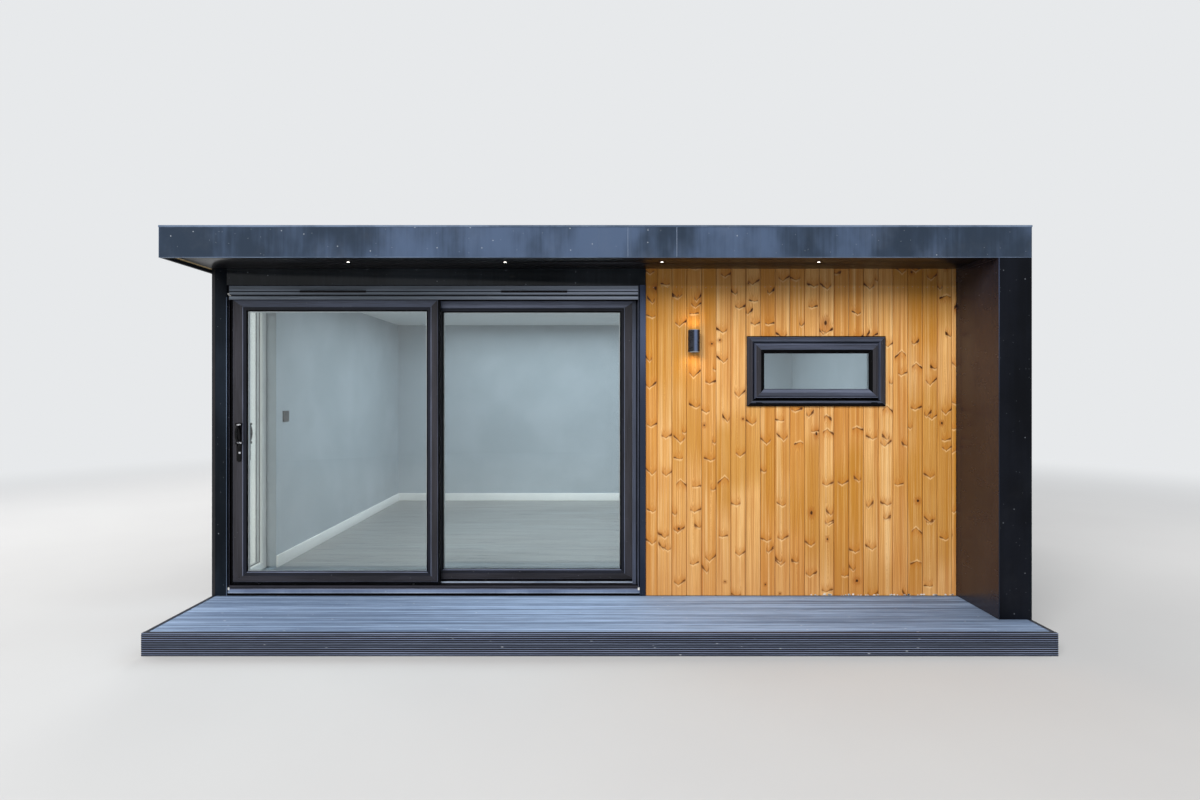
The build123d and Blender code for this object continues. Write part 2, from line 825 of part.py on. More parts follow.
def pipe_outline(half, outlet_y, pipe_y, top, foot):
    """Side view of the downpipe, half wide to each side of its middle line, with two mitred bends."""
    neck = fascia_foot + gutter_foot - pipe_neck
    low_bend = neck - (outlet_y - pipe_y)
    mitre = half * math.tan(math.radians(22.5))
    return [
        (outlet_y + half, top), (outlet_y + half, neck - mitre),
        (pipe_y + half, low_bend - mitre), (pipe_y + half, foot),
        (pipe_y - half, foot), (pipe_y - half, low_bend + mitre),
        (outlet_y - half, neck + mitre), (outlet_y - half, top),
    ]


def make_rear_gutter():
    """Box gutter on the back fascia, and a square downpipe clipped to the back wall."""
    foot = fascia_foot + gutter_foot
    y = (eaves_y, eaves_y + gutter_width)
    z = (foot, foot + gutter_depth)
    gutter = block((roof_left, roof_right), y, z)
    inside_x = (roof_left + gutter_wall, roof_right - gutter_wall)
    inside_y = (y[0] + gutter_wall, y[1] - gutter_wall)
    gutter -= block(inside_x, inside_y, (foot + gutter_wall, z[1]))
    pipe_x = roof_right - pipe_inset
    half = pipe_side / 2
    outlet_y = (y[0] + y[1]) / 2
    pipe_y = back_y + pipe_wall_gap + half
    outside = pipe_outline(half, outlet_y, pipe_y, foot, pipe_foot)
    gutter += prism_x(outside, (pipe_x - half, pipe_x + half))
    top_clip = foot - pipe_neck - (outlet_y - pipe_y)
    for i in range(clip_count):
        middle = pipe_foot + (i + 0.5) * (top_clip - pipe_foot) / clip_count
        clip_z = (middle - clip_height / 2, middle + clip_height / 2)
        gutter += block((pipe_x - half, pipe_x + half), (back_y, pipe_y), clip_z)
    bore = half - pipe_wall
    inside = pipe_outline(bore, outlet_y, pipe_y, foot + gutter_wall, pipe_foot)
    return gutter - prism_x(inside, (pipe_x - bore, pipe_x + bore))


PIECES = {
    "base_frame": make_base_frame,
    "floor_panel": make_floor_panel,
    "laminate_floor": make_laminate_floor,
    "left_wall": make_left_wall,
    "right_wall": make_right_wall,
    "back_wall": make_back_wall,
    "front_wall": make_front_wall,
    "door_lintel": make_door_lintel,
    "corner_post": make_corner_post,
    "wing_wall": make_wing_wall,
    "front_cladding": make_front_cladding,
    "side_cladding": make_side_cladding,
    "door_head_panel": make_door_head_panel,
    "door_cover_strip": make_door_cover_strip,
    "soffit": make_soffit,
    "downlights": make_downlights,
    "eaves_strips": make_eaves_strips,
    "ceiling": make_ceiling,
    "roof_panel": make_roof_panel,
    "roof_membrane": make_roof_membrane,
    "fascia_front": make_fascia_front,
    "fascia_sides": make_fascia_sides,
    "fascia_back": make_fascia_back,
    "roof_edge_trim": make_roof_edge_trim,
    "deck_boards": make_deck_boards,
    "deck_fascia": make_deck_fascia,
    "door_jambs": make_door_jambs,
    "door_head": make_door_head,
    "door_threshold": make_door_threshold,
    "trickle_vents": make_trickle_vents,
    "fixed_sash": make_fixed_sash,
    "fixed_glass": make_fixed_glass,
    "sliding_sash": make_sliding_sash,
    "sliding_glass": make_sliding_glass,
    "sash_rollers": make_sash_rollers,
    "door_handles": make_door_handles,
    "side_window_frame": make_side_window_frame,
    "side_window_glass": make_side_window_glass,
    "window_frame": make_window_frame,
    "window_sash": make_window_sash,
    "window_glass": make_window_glass,
    "wall_light": make_wall_light,
    "skirting": make_skirting,
    "light_switch": make_light_switch,
    "rear_gutter": make_rear_gutter,
}

os.makedirs("parts", exist_ok=True)
for name, make in PIECES.items():
    export_step(make(), f"parts/{name}.step")
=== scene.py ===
import json
import math
import random

import bmesh
import bpy
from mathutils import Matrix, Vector

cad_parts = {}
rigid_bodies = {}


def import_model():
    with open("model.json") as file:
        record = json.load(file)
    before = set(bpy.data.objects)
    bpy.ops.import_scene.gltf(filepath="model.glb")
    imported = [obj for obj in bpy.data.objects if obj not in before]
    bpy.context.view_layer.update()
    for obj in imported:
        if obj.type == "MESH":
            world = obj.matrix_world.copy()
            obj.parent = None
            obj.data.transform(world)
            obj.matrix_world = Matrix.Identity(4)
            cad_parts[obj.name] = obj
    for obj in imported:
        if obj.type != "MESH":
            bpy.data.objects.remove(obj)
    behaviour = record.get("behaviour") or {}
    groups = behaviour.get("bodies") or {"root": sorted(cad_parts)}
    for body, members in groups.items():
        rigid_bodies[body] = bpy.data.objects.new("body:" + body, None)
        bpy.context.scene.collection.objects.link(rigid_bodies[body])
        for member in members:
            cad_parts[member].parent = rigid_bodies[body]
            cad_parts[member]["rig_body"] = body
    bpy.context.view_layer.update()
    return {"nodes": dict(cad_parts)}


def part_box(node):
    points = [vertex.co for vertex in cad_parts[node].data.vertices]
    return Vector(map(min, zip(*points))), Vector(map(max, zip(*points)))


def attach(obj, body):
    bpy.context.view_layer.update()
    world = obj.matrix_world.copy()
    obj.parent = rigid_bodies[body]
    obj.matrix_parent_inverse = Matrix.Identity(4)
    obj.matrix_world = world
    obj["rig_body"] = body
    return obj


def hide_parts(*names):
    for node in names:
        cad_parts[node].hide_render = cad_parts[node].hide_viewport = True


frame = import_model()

# Garden office pod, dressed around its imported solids. Metres, in the pod's own frame: the front
# faces -Y, and the ground is at height 0.

# Camera: level, square to the front
CAMERA_PLACE = (0.0, -5.8495, 1.494)
FOCAL_PIXELS = 633.0
PHOTO_WIDTH = 1200.0
VANISH = (595.3, 392.6)
PHOTO_MIDDLE = (600.0, 400.0)
SENSOR_WIDTH = 36.0

# Studio
BACKDROP = (0.80, 0.815, 0.83, 1.0)
WORLD_FILL = (0.90, 0.95, 1.0, 1.0)
FLOOR_TONES = ((0.57, 0.57, 0.58, 1.0), (0.61, 0.615, 0.62, 1.0))
FLOOR_BOUNCE = (0.30, 0.30, 0.30, 1.0)
FLOOR_HALF = 60.0
FLOOR_DROP = 0.0005
FADE_NEAR, FADE_FAR = 5.0, 13.0
DAY = (1.0, 0.98, 0.95)
# Area lamps: name, place, aim, width, height, power, colour
AREA_LAMPS = (
    ("front_softbox", (-4.5, -14.5, 9.8), (0.0, -1.6, 1.2), 13.0, 8.0, 3000.0, DAY),
    ("right_softbox", (9.0, -2.0, 5.5), (0.0, 0.0, 1.2), 5.0, 4.0, 300.0, DAY),
    ("back_softbox", (-2.0, 10.0, 7.0), (0.0, 0.0, 1.5), 8.0, 5.0, 900.0, DAY),
    ("left_softbox", (-9.0, 1.0, 5.5), (0.0, 0.0, 1.2), 5.0, 4.0, 300.0, DAY),
    ("room_lamp", (0.0, 0.25, 2.28), (0.0, 0.25, 0.0), 3.6, 2.6, 92.0, (0.86, 0.94, 1.0)),
)
# Warm spots at the wall light's ends: name, end, inward step, power
GLOW_LAMPS = (("glow_down", 0, 0.002, 0.75), ("glow_up", 1, -0.002, 0.85))
GLOW_COLOR = (1.0, 0.62, 0.20)
GLOW_ANGLE = 164

# Meshes
MERGE_DISTANCE = 0.00005
FLAT_ANGLE = 1
SOFT_ANGLE = 25
TINY = 1e-6

# Timber front
BOARD_FIRST = 0.078
BOARD_PITCH = 0.099
BOARD_GAP = 0.0014
BOARD_CHAMFER = 0.005
BOARD_CHAMFER_DEPTH = 0.0035
BOARD_GAP_DEPTH = 0.0075
NAIL_HEIGHT = 2.203
NAIL_DRIFT = 0.004
NAIL_SHARES = (0.3, 0.7)
NAIL_RISE = 0.0006
NAIL_PROFILE = ((0.0021, 0.0008), (0.0019, 0.0002), (0.0010, 0.0))
# Boards are painted darker above this height: painted shade under the canopy.
CANOPY_SHADE_HEIGHT = 2.212
# Branches cut lengthwise: seed, pitch, spread, chance, slopes, wing lengths, thickness
WING_KNOTS = (
    (1.0, 0.34, 0.014, 0.64, (0.50, 1.20), (0.032, 0.052), 0.0068),
    (11.0, 0.52, 0.044, 0.46, (0.5, 1.5), (0.018, 0.038), 0.0105),
    (21.0, 0.60, 0.022, 0.34, (0.30, 0.80), (0.024, 0.044), 0.0044),
)
# Branches cut across: seed, pitch, chance, radii
ROUND_KNOTS = (31.0, 0.70, 0.32, (0.005, 0.013))
# White spots: number, share of the front where they start, distance from its end where they stop,
# sizes, lowest point, corners, how wide they lie, and how far they stand out and reach in
RESIDUE_COUNT = 60
RESIDUE_START = 0.52
RESIDUE_END = 0.02
RESIDUE_SIZES = (0.0015, 0.0070)
RESIDUE_FOOT = 0.1315
RESIDUE_CORNERS = 7
RESIDUE_STRETCH = 1.5
RESIDUE_RISE, RESIDUE_BED = 0.0007, 0.0005
# Sealant smears on the left jamb: place across, height, size
SMEARS = ((0.004, 2.158, 0.006), (0.012, 2.150, 0.004), (0.020, 2.146, 0.003))

# Deck
DECK_GROOVE_PITCH = 0.0071
DECK_GROOVE_WIDTH = 0.0030
DECK_GROOVE_DEPTH = 0.0016
DECK_EDGE = 0.004
REED_COUNT = 10
REED_START = 0.0065
REED_PITCH = 0.0124
REED_LEDGE = 0.0027
REED_SLOPE = 0.0016
REED_GROOVE = 0.0030
REED_DEPTH = 0.0035
REED_EASE = 0.0003
REED_CORNER = 0.003

# Door frame
JAMB_WEB = 0.011
JAMB_FACE = 0.046
TRACK_LIP = 0.006
RUNNING_GAP = 0.006
SASH_TOP_GAP = 0.012
SILL_HEIGHT = 0.050
SILL_LIP = 0.019
RAIL_HEIGHT = 0.015
RAIL_WIDTH = 0.006
END_CAP = 0.013
# Trickle vent's slot: foot and top from the vent's middle, depth
VENT_LOW, VENT_HIGH, VENT_DEPTH = -0.0045, 0.0040, 0.0055

# Frames
PANE = 0.004
PANE_EDGE = 0.010
MITRE_GAP = 0.0003
# Clearances of a pane in its groove and of the spacer bar between two panes
PANE_GAP = 0.0001
SPACER_GAP = 0.0002
SPACER_EDGE = 0.009
GASKET_RISE, GASKET_TIP, GASKET_EASE = 0.0022, 0.0012, 0.0008
# Top-hung window: gap round its sash, and where the drain caps start and end from its sides
HUNG_GAP = 0.002
DRAIN_NEAR, DRAIN_FAR = 0.058, 0.100

# Handles: how far the inner one stands right of the outer one, and the painted glints on the outer
# one, pale painted highlights, as place across, height, half width and half height
HANDLE_SHIFT = 0.037
HANDLE_PAINTED_GLINTS = ((-2.400, 1.278, 0.017, 0.006), (-2.396, 1.156, 0.019, 0.008), (-2.395, 1.088, 0.008, 0.009))

# Fascia joints: place from the middle of the roof, width, and whether it is pale, a painted highlight on its
# edge
FASCIA_JOINTS = (
    (0.022, 0.0016, False), (0.196, 0.0022, True), (0.214, 0.0022, False),
    (0.490, 0.0030, True), (0.994, 0.0018, False),
)
FASCIA_HEM = 0.0035
# How far hems, film joints and corner beads stand out of the sheet and reach into it
HEM_RISE, HEM_BED = 0.0010, 0.002
JOINT_RISE, JOINT_BED = 0.0006, 0.001
BEAD_RISE, BEAD_BED = 0.0008, 0.003
FASCIA_GAP = 0.0008
WING_TONGUE = 0.018

# Side panels, roof seams and laminate
PANEL_JOINT = 0.004
PANEL_SKIN = 0.005
PANEL_LENGTH = 1.05
SEAM_SHARES = (0.25, 0.5, 0.75)
SEAM_LAP = 0.05
SEAM_RISE = 0.0022
SEAM_START = 0.045
PLANK_WIDTH = 0.192
PLANK_LENGTH = 1.285
PLANK_STAGGER = 0.37
PLANK_GAP = 0.0005

rng = random.Random(7)


def tone(red, green, blue):
    """Linear colour of a tone given as it shows on a screen, 0 to 255."""
    return tuple(((c / 255 + 0.055) / 1.055) ** 2.4 for c in (red, green, blue)) + (1.0,)


def scaled(color, share):
    """The colour made darker by a share under 1, or paler by one over 1."""
    return tuple(min(1.0, c * share) for c in color[:3]) + (1.0,)


class Value:
    """Output of a node. Arithmetic on it adds nodes to its graph."""

    def __init__(self, graph, socket):
        self.graph = graph
        self.socket = socket

    def math(self, operation, other=0.0):
        return self.graph.add("Math", {0: self, 1: other}, operation=operation)

    def __add__(self, other):
        return self.math("ADD", other)

    def __sub__(self, other):
        return self.math("SUBTRACT", other)

    def __rsub__(self, other):
        return self.graph.add("Math", {0: other, 1: self}, operation="SUBTRACT")

    def __mul__(self, other):
        return self.math("MULTIPLY", other)

    def __truediv__(self, other):
        return self.math("DIVIDE", other)

    def __abs__(self):
        return self.math("ABSOLUTE")

    def step(self, low, high):
        """Smooth step from 0 at low to 1 at high."""
        inputs = {"Value": self, "From Min": low, "From Max": high}
        return self.graph.add("MapRange", inputs, interpolation_type="SMOOTHSTEP")

    def span(self, low, high):
        """Carries 0 to 1 to the range low to high."""
        return self.graph.add("MapRange", {"Value": self, "To Min": low, "To Max": high})


class Graph:
    """Nodes of one material or world. An input is a number, a colour or a Value."""

    def __init__(self, name, group=None):
        group = bpy.data.materials if group is None else group
        self.owner = group.new(name)
        self.owner.use_nodes = True
        self.tree = self.owner.node_tree
        self.tree.nodes.clear()

    def node(self, kind, inputs, **settings):
        made = self.tree.nodes.new("ShaderNode" + kind)
        for key, value in settings.items():
            setattr(made, key, value)
        for key, value in inputs.items():
            if isinstance(value, Value):
                self.tree.links.new(value.socket, made.inputs[key])
            else:
                made.inputs[key].default_value = value
        return made

    def add(self, kind, inputs, output=0, **settings):
        return Value(self, self.node(kind, inputs, **settings).outputs[output])

    def mix(self, share, a, b):
        return self.add("Mix", {0: share, 6: a, 7: b}, 2, data_type="RGBA")

    def coats(self, color, *layers):
        """Lays colours over one, each given as where it lies, how strongly, and the colour."""
        for where, share, over in layers:
            color = self.mix(where * share, color, over)
        return color

    def join(self, x, y, z):
        return self.add("CombineXYZ", {0: x, 1: y, 2: z})

    def split(self, vector):
        return [Value(self, part) for part in self.node("SeparateXYZ", {0: vector}).outputs]

    def attribute(self, name):
        return self.add("Attribute", {}, "Vector", attribute_name=name)

    def place(self):
        return self.add("TexCoord", {}, "Object")

    def ray(self, kind):
        """1 where the ray is of a kind, such as Camera or Shadow."""
        return self.add("LightPath", {}, f"Is {kind} Ray")

    def stretch(self, vector, x, y, z):
        return self.add("VectorMath", {0: vector, 1: (x, y, z)}, operation="MULTIPLY")

    def noise(self, vector, scale, detail=3.0, rough=0.55):
        """Noise from 0 to 1. A scale of three numbers has one for each axis."""
        if isinstance(scale, tuple):
            vector, scale = self.stretch(vector, *scale), 1.0
        inputs = {"Vector": vector, "Scale": scale, "Detail": detail, "Roughness": rough}
        return self.add("TexNoise", inputs)

    def dice(self, x, y, z):
        """Three random numbers that stay the same where x, y and z do."""
        return self.split(self.add("TexWhiteNoise", {"Vector": self.join(x, y, z)}, "Color"))

    def bump(self, height, distance, under=None):
        inputs = {"Height": height, "Distance": distance}
        if under is not None:
            inputs["Normal"] = under
        return self.add("Bump", inputs)

    def finish(self, shader, kind="Material"):
        self.node("Output" + kind, {"Surface": shader})
        return self.owner

    def surface(self, color, roughness, normal, gloss=0.5, metallic=0.0):
        return self.finish(self.add("BsdfPrincipled", {
            "Base Color": color, "Roughness": roughness, "Normal": normal,
            "Specular IOR Level": gloss, "Metallic": metallic,
        }))


def specks(g, place, scale, share, size, flat=False):
    """Small scattered dots: 1 on a dot, 0 between them. Only a share of the cells holds one."""
    kind = "2D" if flat else "3D"
    cell = g.node("TexVoronoi", {"Vector": place, "Scale": scale}, voronoi_dimensions=kind).outputs
    present = g.split(Value(g, cell["Color"]))[0].math("LESS_THAN", share)
    return Value(g, cell["Distance"]).step(size, size * 0.5) * present


def coated_sheet(name, dark, light, roughness=(0.34, 0.5), gloss=0.12, dust=0.04, marks=1.0, clouds=2.0,
                 painted_sheen=0.0, fall=0.0):
    """Factory-coated panel: soft smudges, faint wiped streaks, and sparse pale specks. The next to last
    argument pales the middle of the roof as a painted sheen, and the last darkens the foot of the
    walls as painted shade."""
    g = Graph(name)
    at = g.place()
    x, y, z = g.split(at)
    smudge = g.noise(g.stretch(at, 1.0, 1.0, 0.5), clouds, 4.0)
    streak = g.noise(g.stretch(at, 26.0, 26.0, 1.0), 2.0, 4.0, 0.6)
    blend = smudge * 0.86 + streak * 0.14
    # Painted sheen: paler towards the middle.
    if painted_sheen:
        blend += ((x + 0.25) * 1.45).math("COSINE") * painted_sheen
    color = g.mix(blend.step(0.38, 0.64), dark, light)
    # Painted shade: darker towards the foot.
    if fall:
        color = g.mix(z.step(2.1, 1.3) * fall, color, tone(18, 22, 32))
    plane = g.join(x + y, z + y * 0.37, 0.0)
    dirt = specks(g, plane, 15.0, 0.075, 0.066, True) * marks
    fine = specks(g, plane, 52.0, 0.025, 0.11, True) * (marks * 0.8)
    color = g.coats(
        color,
        (dirt.math("MAXIMUM", fine), 0.7, tone(170, 178, 188)),
        (g.noise(at, 5.0, 5.0, 0.7).step(0.45, 0.8), dust, tone(150, 150, 150)),
    )
    rough = g.noise(g.stretch(at, 2.0, 2.0, 5.0), 3.0, 5.0, 0.65).span(*roughness)
    peel = g.bump(g.noise(at, 420.0, 2.0), 0.0002)
    wave = g.bump(g.noise(g.stretch(at, 1.0, 1.0, 0.6), 2.2, 1.0), 0.004, peel)
    return g.surface(color, rough, wave, gloss)


def foil(name, dark, light, depth=0.00035, gloss=0.35, painted_right_sheen=0.0):
    """Profile foil embossed with wood grain that runs along each bar. The last argument pales its
    right end, a painted sheen.
    """
    g = Graph(name)
    grain = g.attribute("grain")
    at = g.place()
    fibre = g.noise(grain, (6.0, 260.0, 260.0), 4.0, 0.6)
    lines = g.noise(grain, (22.0, 900.0, 900.0), 2.0).step(0.58, 0.72)
    wide = g.noise(grain, (1.3, 14.0, 14.0))
    color = g.mix((fibre * 0.5 + wide * 0.5).step(0.38, 0.64), dark, light)
    color = g.mix(lines * 0.3, color, scaled(dark, 0.4))
    # Painted sheen, growing towards the right end.
    if painted_right_sheen:
        color = g.mix(g.split(at)[0].step(-1.4, 0.3) * painted_right_sheen, color, tone(196, 208, 232))
    color = g.mix(specks(g, at, 60.0, 0.10, 0.12) * 0.5, color, tone(180, 182, 186))
    return g.surface(color, fibre.span(0.34, 0.5), g.bump(fibre + lines * -0.6, depth), gloss)


def knot_place(g, board, seed, pitch, spread):
    """One place in each stretch of each board: distance across and along from it, and two dice."""
    across, height, number = board
    along = height / pitch + g.dice(number, seed, 2.0)[2] * 9.0
    cell = along.math("FLOOR")
    dice = g.dice(number, cell, seed)
    more = g.dice(number, cell, seed + 0.5)
    rise = (along - 0.5 - cell) * pitch + (dice[0] - 0.5) * (pitch * 0.55)
    return across - dice[1].span(-spread, spread), rise, dice[2], more


def wing_knots(g, board, wobble, seed, pitch, spread, chance, slopes, wings, thick):
    """Branches cut lengthwise: a thin dark stroke that rises or falls to both sides of its middle."""
    side, rise, die, more = knot_place(g, board, seed, pitch, spread)
    flip = (more[0] - 0.10).math("SIGN")
    reach = abs(side)
    off = rise - (reach * die.span(*slopes) - reach * reach * 4.0) * flip + wobble
    heavy = (side * (more[2] - 0.5).math("SIGN")).step(-0.004, 0.006)
    wing = heavy.span(*wings)
    present = reach.step(wing, wing * 0.80) * more[1].math("LESS_THAN", chance)
    tips = reach.step(wing * 0.15, wing * 0.75)
    half = (tips * 0.8 + 0.55) * thick
    gap = abs(off)
    weight = present * heavy.span(0.75, 1.0) * tips.span(0.40, 1.0)
    dark = gap.step(half, half * 0.45) * weight
    halo = gap.step(half * 2.6, half) * weight
    lit_side = (off * (flip * -1.0)).step(0.0, 0.004)
    lit = gap.step(0.018, 0.006) * (lit_side * present)
    glow = gap.step(0.07, 0.0) * (present * (1.0 - lit_side))
    return dark, lit, glow, halo, dark * heavy


def round_knots(g, board, wobble, seed, pitch, chance, sizes):
    """Branches cut across: a dark spot in a warm ring."""
    side, rise, die, more = knot_place(g, board, seed, pitch, 0.032)
    rise = (rise + wobble) * more[0].span(0.55, 1.1)
    away = (side * side + rise * rise).math("SQRT")
    radius = die.span(*sizes)
    present = more[1].math("LESS_THAN", chance)
    return away.step(radius, radius * 0.5) * present, away.step(radius * 3.6, radius) * present


def pine(name):
    """Oiled softwood boards. The board attribute gives distance across, height, and the board."""
    g = Graph(name)
    across, height, number = g.split(g.attribute("board"))
    number = number.math("ROUND")
    board = (across, height, number)
    own = g.dice(number, 3.0, 9.0)
    place = g.join(*board)
    wobble = (g.noise(place, 62.0, 2.0) - 0.5) * 0.014
    knots, *others = [wing_knots(g, board, wobble, *sizes) for sizes in WING_KNOTS]
    for other in others:
        knots = [a.math("MAXIMUM", b) for a, b in zip(knots, other)]
    dark, lit, glow, halo, core = knots
    spot, ring = round_knots(g, board, wobble, *ROUND_KNOTS)
    dark *= g.noise(place, 55.0, 1.0).step(0.26, 0.50).span(0.30, 1.0)

    # Grain: rings cut lengthwise, bent round the knots
    sway = g.noise(g.join(number * 3.1, height * 1.1, 0.0), 1.0, 2.0)
    from_pith = across - (sway - 0.5) * 0.09
    ring_at = (from_pith * from_pith + 0.00010).math("SQRT") + height * own[0].span(-0.007, 0.007)
    ring_at = ring_at + (glow + ring) * 0.012 + wobble * 0.3
    phase = (ring_at * own[1].span(90.0, 170.0)).math("FRACT")
    late = phase.step(0.30, 0.85) * phase.step(1.0, 0.9)
    fibre = g.noise(place, (420.0, 5.0, 1.0), 4.0, 0.6)
    bands = g.noise(place, (34.0, 0.40, 1.0), 2.0)
    lines = g.noise(place, (105.0, 0.9, 1.0), 3.0, 0.6)
    patch = g.noise(place, (7.0, 1.8, 1.0))
    stain = g.noise(g.join(number * 0.17, height * 0.7, 5.0), 1.0, 2.0)
    uneven = g.noise(g.join(number, height * 0.8, 2.0), 1.0, 1.0).step(0.3, 0.7)
    depth = height.step(0.7, 2.2)
    edge = abs(across)
    color = g.coats(
        g.mix(own[2].step(0.1, 0.9), tone(240, 188, 118), tone(217, 154, 76)),
        (bands.step(0.46, 0.64), 0.60, tone(186, 116, 48)),
        (bands.step(0.46, 0.32), 0.66, tone(248, 209, 150)),
        (patch.step(0.42, 0.75), 0.40, tone(200, 128, 46)),
        (stain.step(0.49, 0.60), 0.60, tone(192, 132, 34)),
        (lines.step(0.52, 0.66), 0.34, tone(168, 104, 44)),
        (lines.step(0.46, 0.34), 0.30, tone(250, 214, 158)),
        (late, 0.30, tone(176, 106, 42)),
        (fibre.step(0.5, 0.75), 0.20, tone(160, 94, 38)),
        (height.step(0.75, 0.13), 0.22, tone(200, 136, 88)),
        (glow, 0.45, tone(192, 116, 30)),
        (ring, 0.55, tone(168, 94, 30)),
        (lit, 0.60, tone(250, 214, 156)),
        (halo, 0.45, tone(176, 108, 44)),
        (dark, 0.90, g.mix(depth, tone(150, 90, 36), tone(112, 60, 22))),
        (core, depth.span(0.55, 0.95), tone(62, 30, 10)),
        (spot, 0.95, tone(58, 28, 10)),
        # Painted shade: darker in the chamfers and gaps of the joints between boards.
        (edge.step(0.0425, 0.0475), uneven.span(0.04, 0.34), tone(150, 90, 38)),
        (edge.step(0.0472, 0.0486), uneven.span(0.0, 0.50), tone(96, 56, 24)),
        # Painted shade: darker above the row of nails, under the canopy.
        (height.step(CANOPY_SHADE_HEIGHT - 0.010, CANOPY_SHADE_HEIGHT + 0.010), 0.30, tone(112, 66, 22)),
    )
    relief = late * 0.25 + fibre * 0.35 + lit * 0.25 + dark * -0.30
    return g.surface(color, fibre.span(0.42, 0.62) + dark * -0.1, g.bump(relief, 0.0012), 0.25)


def wood(name, pale, deep, ring_scale=60.0, roughness=(0.5, 0.7), stain=None):
    """Sawn or planed timber whose grain runs along each piece."""
    g = Graph(name)
    grain = g.attribute("grain")
    _, y, z = g.split(grain)
    bend = g.noise(grain, (0.8, 3.0, 3.0), 2.0)
    late = ((y + bend * 0.05 + z * 0.6) * ring_scale).math("PINGPONG", 0.5).step(0.1, 0.45)
    fibre = g.noise(grain, (5.0, 240.0, 240.0), 4.0, 0.6)
    knots = specks(g, g.stretch(grain, 0.5, 1.0, 1.0), 6.0, 0.25, 0.12)
    color = g.coats(
        g.mix(late * 0.75, pale, deep),
        (fibre.step(0.45, 0.8), 0.35, deep),
        (knots, 0.7, (deep[0] * 0.35, deep[1] * 0.3, deep[2] * 0.3, 1.0)),
    )
    if stain is not None:
        color = g.mix(g.noise(g.place(), 3.0, 4.0).step(0.42, 0.7) * 0.5, color, stain)
    return g.surface(color, fibre.span(*roughness), g.bump(fibre + late * 0.4, 0.0008))


def composite(name, dark, light, worn, painted_sheen=0.0):
    """Wood-flour composite: streaks along the board and chalky wear. The last argument pales its
    middle, a painted sheen.
    """
    g = Graph(name)
    grain = g.attribute("grain")
    at = g.place()
    fibre = g.noise(grain, (5.0, 260.0, 260.0), 4.0, 0.65)
    streak = g.noise(grain, (0.3, 60.0, 60.0), 3.0, 0.7)
    blend = fibre * 0.30 + streak * 0.70
    # Painted sheen: paler towards the middle of the deck.
    if painted_sheen:
        blend += ((g.split(at)[0] - 0.35) * 1.45).math("COSINE") * painted_sheen
    color = g.coats(
        g.mix(blend.step(0.42, 0.59), dark, light),
        (g.noise(g.stretch(at, 1.2, 2.6, 2.6), 1.6, 4.0, 0.6).step(0.40, 0.75), 0.35, worn),
        (g.noise(grain, (0.9, 130.0, 130.0), 2.0).step(0.60, 0.68), 0.45, scaled(light, 1.5)),
        (g.noise(grain, (0.25, 46.0, 46.0), 1.0).step(0.56, 0.66), 0.42, scaled(dark, 0.6)),
        (specks(g, g.stretch(grain, 0.35, 1.0, 1.0), 40.0, 0.16, 0.14), 0.45, tone(222, 226, 232)),
    )
    return g.surface(color, fibre.span(0.5, 0.72), g.bump(fibre + streak * 0.6, 0.0012), 0.3)


def laminate(name):
    """Grey-brown laminate planks."""
    g = Graph(name)
    grain = g.attribute("grain")
    fibre = g.noise(grain, (3.0, 110.0, 110.0), 5.0, 0.6)
    wide = g.noise(grain, (0.9, 12.0, 12.0))
    plank = g.join(g.split(grain)[2].math("ROUND"), 0.0, 4.0)
    own = g.add("TexWhiteNoise", {"Vector": plank}, "Value")
    color = g.mix((fibre * 0.5 + wide * 0.5).step(0.34, 0.68), tone(98, 101, 102), tone(136, 141, 143))
    color = g.mix(own * 0.35, color, tone(122, 120, 118))
    return g.surface(color, fibre.span(0.22, 0.38), g.bump(fibre, 0.0003))


def paint(name, dark, light, roughness=(0.35, 0.5), depth=0.0004, scale=160.0):
    """Painted surface with a faint roller or brush texture and slight soiling."""
    g = Graph(name)
    at = g.place()
    color = g.mix(g.noise(at, 1.8, 4.0, 0.6).step(0.35, 0.7), dark, light)
    return g.surface(color, g.noise(at, 12.0).span(*roughness), g.bump(g.noise(at, scale), depth))


def membrane(name):
    """Rubber roof sheet: dusty, with drying marks and soft wrinkles."""
    g = Graph(name)
    at = g.place()
    pools = g.noise(g.stretch(at, 0.8, 1.4, 1.0), 1.1, 5.0, 0.62)
    color = g.coats(
        g.mix(pools.step(0.25, 0.85), tone(54, 56, 59), tone(76, 77, 78)),
        (pools.step(0.515, 0.53) * pools.step(0.55, 0.535), 0.22, tone(112, 110, 105)),
        (specks(g, at, 70.0, 0.25, 0.16), 0.5, tone(142, 138, 128)),
    )
    wrinkle = g.bump(g.noise(g.stretch(at, 2.0, 0.6, 1.0), 3.0), 0.006)
    return g.surface(color, pools.span(0.85, 0.72), g.bump(g.noise(at, 300.0, 2.0), 0.0004, wrinkle), 0.25)


def metal(name, color, roughness, brush=(1.0, 1.0, 1.0)):
    """Bare metal with fine scratches, drawn out along one axis by brush, and slight soiling."""
    g = Graph(name)
    at = g.place()
    line = g.noise(g.stretch(at, *brush), 260.0)
    soil = g.noise(at, 9.0, 4.0)
    shade = g.mix(soil.step(0.4, 0.75) * 0.35, color, scaled(color, 0.6))
    return g.surface(shade, line.span(*roughness) + soil * 0.06, g.bump(line, 0.0001), metallic=1.0)


def plastic(name, dark, light, roughness=(0.3, 0.45), gloss=0.5):
    """Moulded plastic or rubber with fine grain and dust."""
    g = Graph(name)
    at = g.place()
    color = g.mix(g.noise(at, 6.0, 4.0).step(0.38, 0.68), dark, light)
    color = g.mix(specks(g, at, 90.0, 0.12, 0.12) * 0.4, color, tone(150, 150, 150))
    rough = g.noise(at, 18.0, 4.0).span(*roughness)
    return g.surface(color, rough, g.bump(g.noise(at, 500.0), 0.00015), gloss)


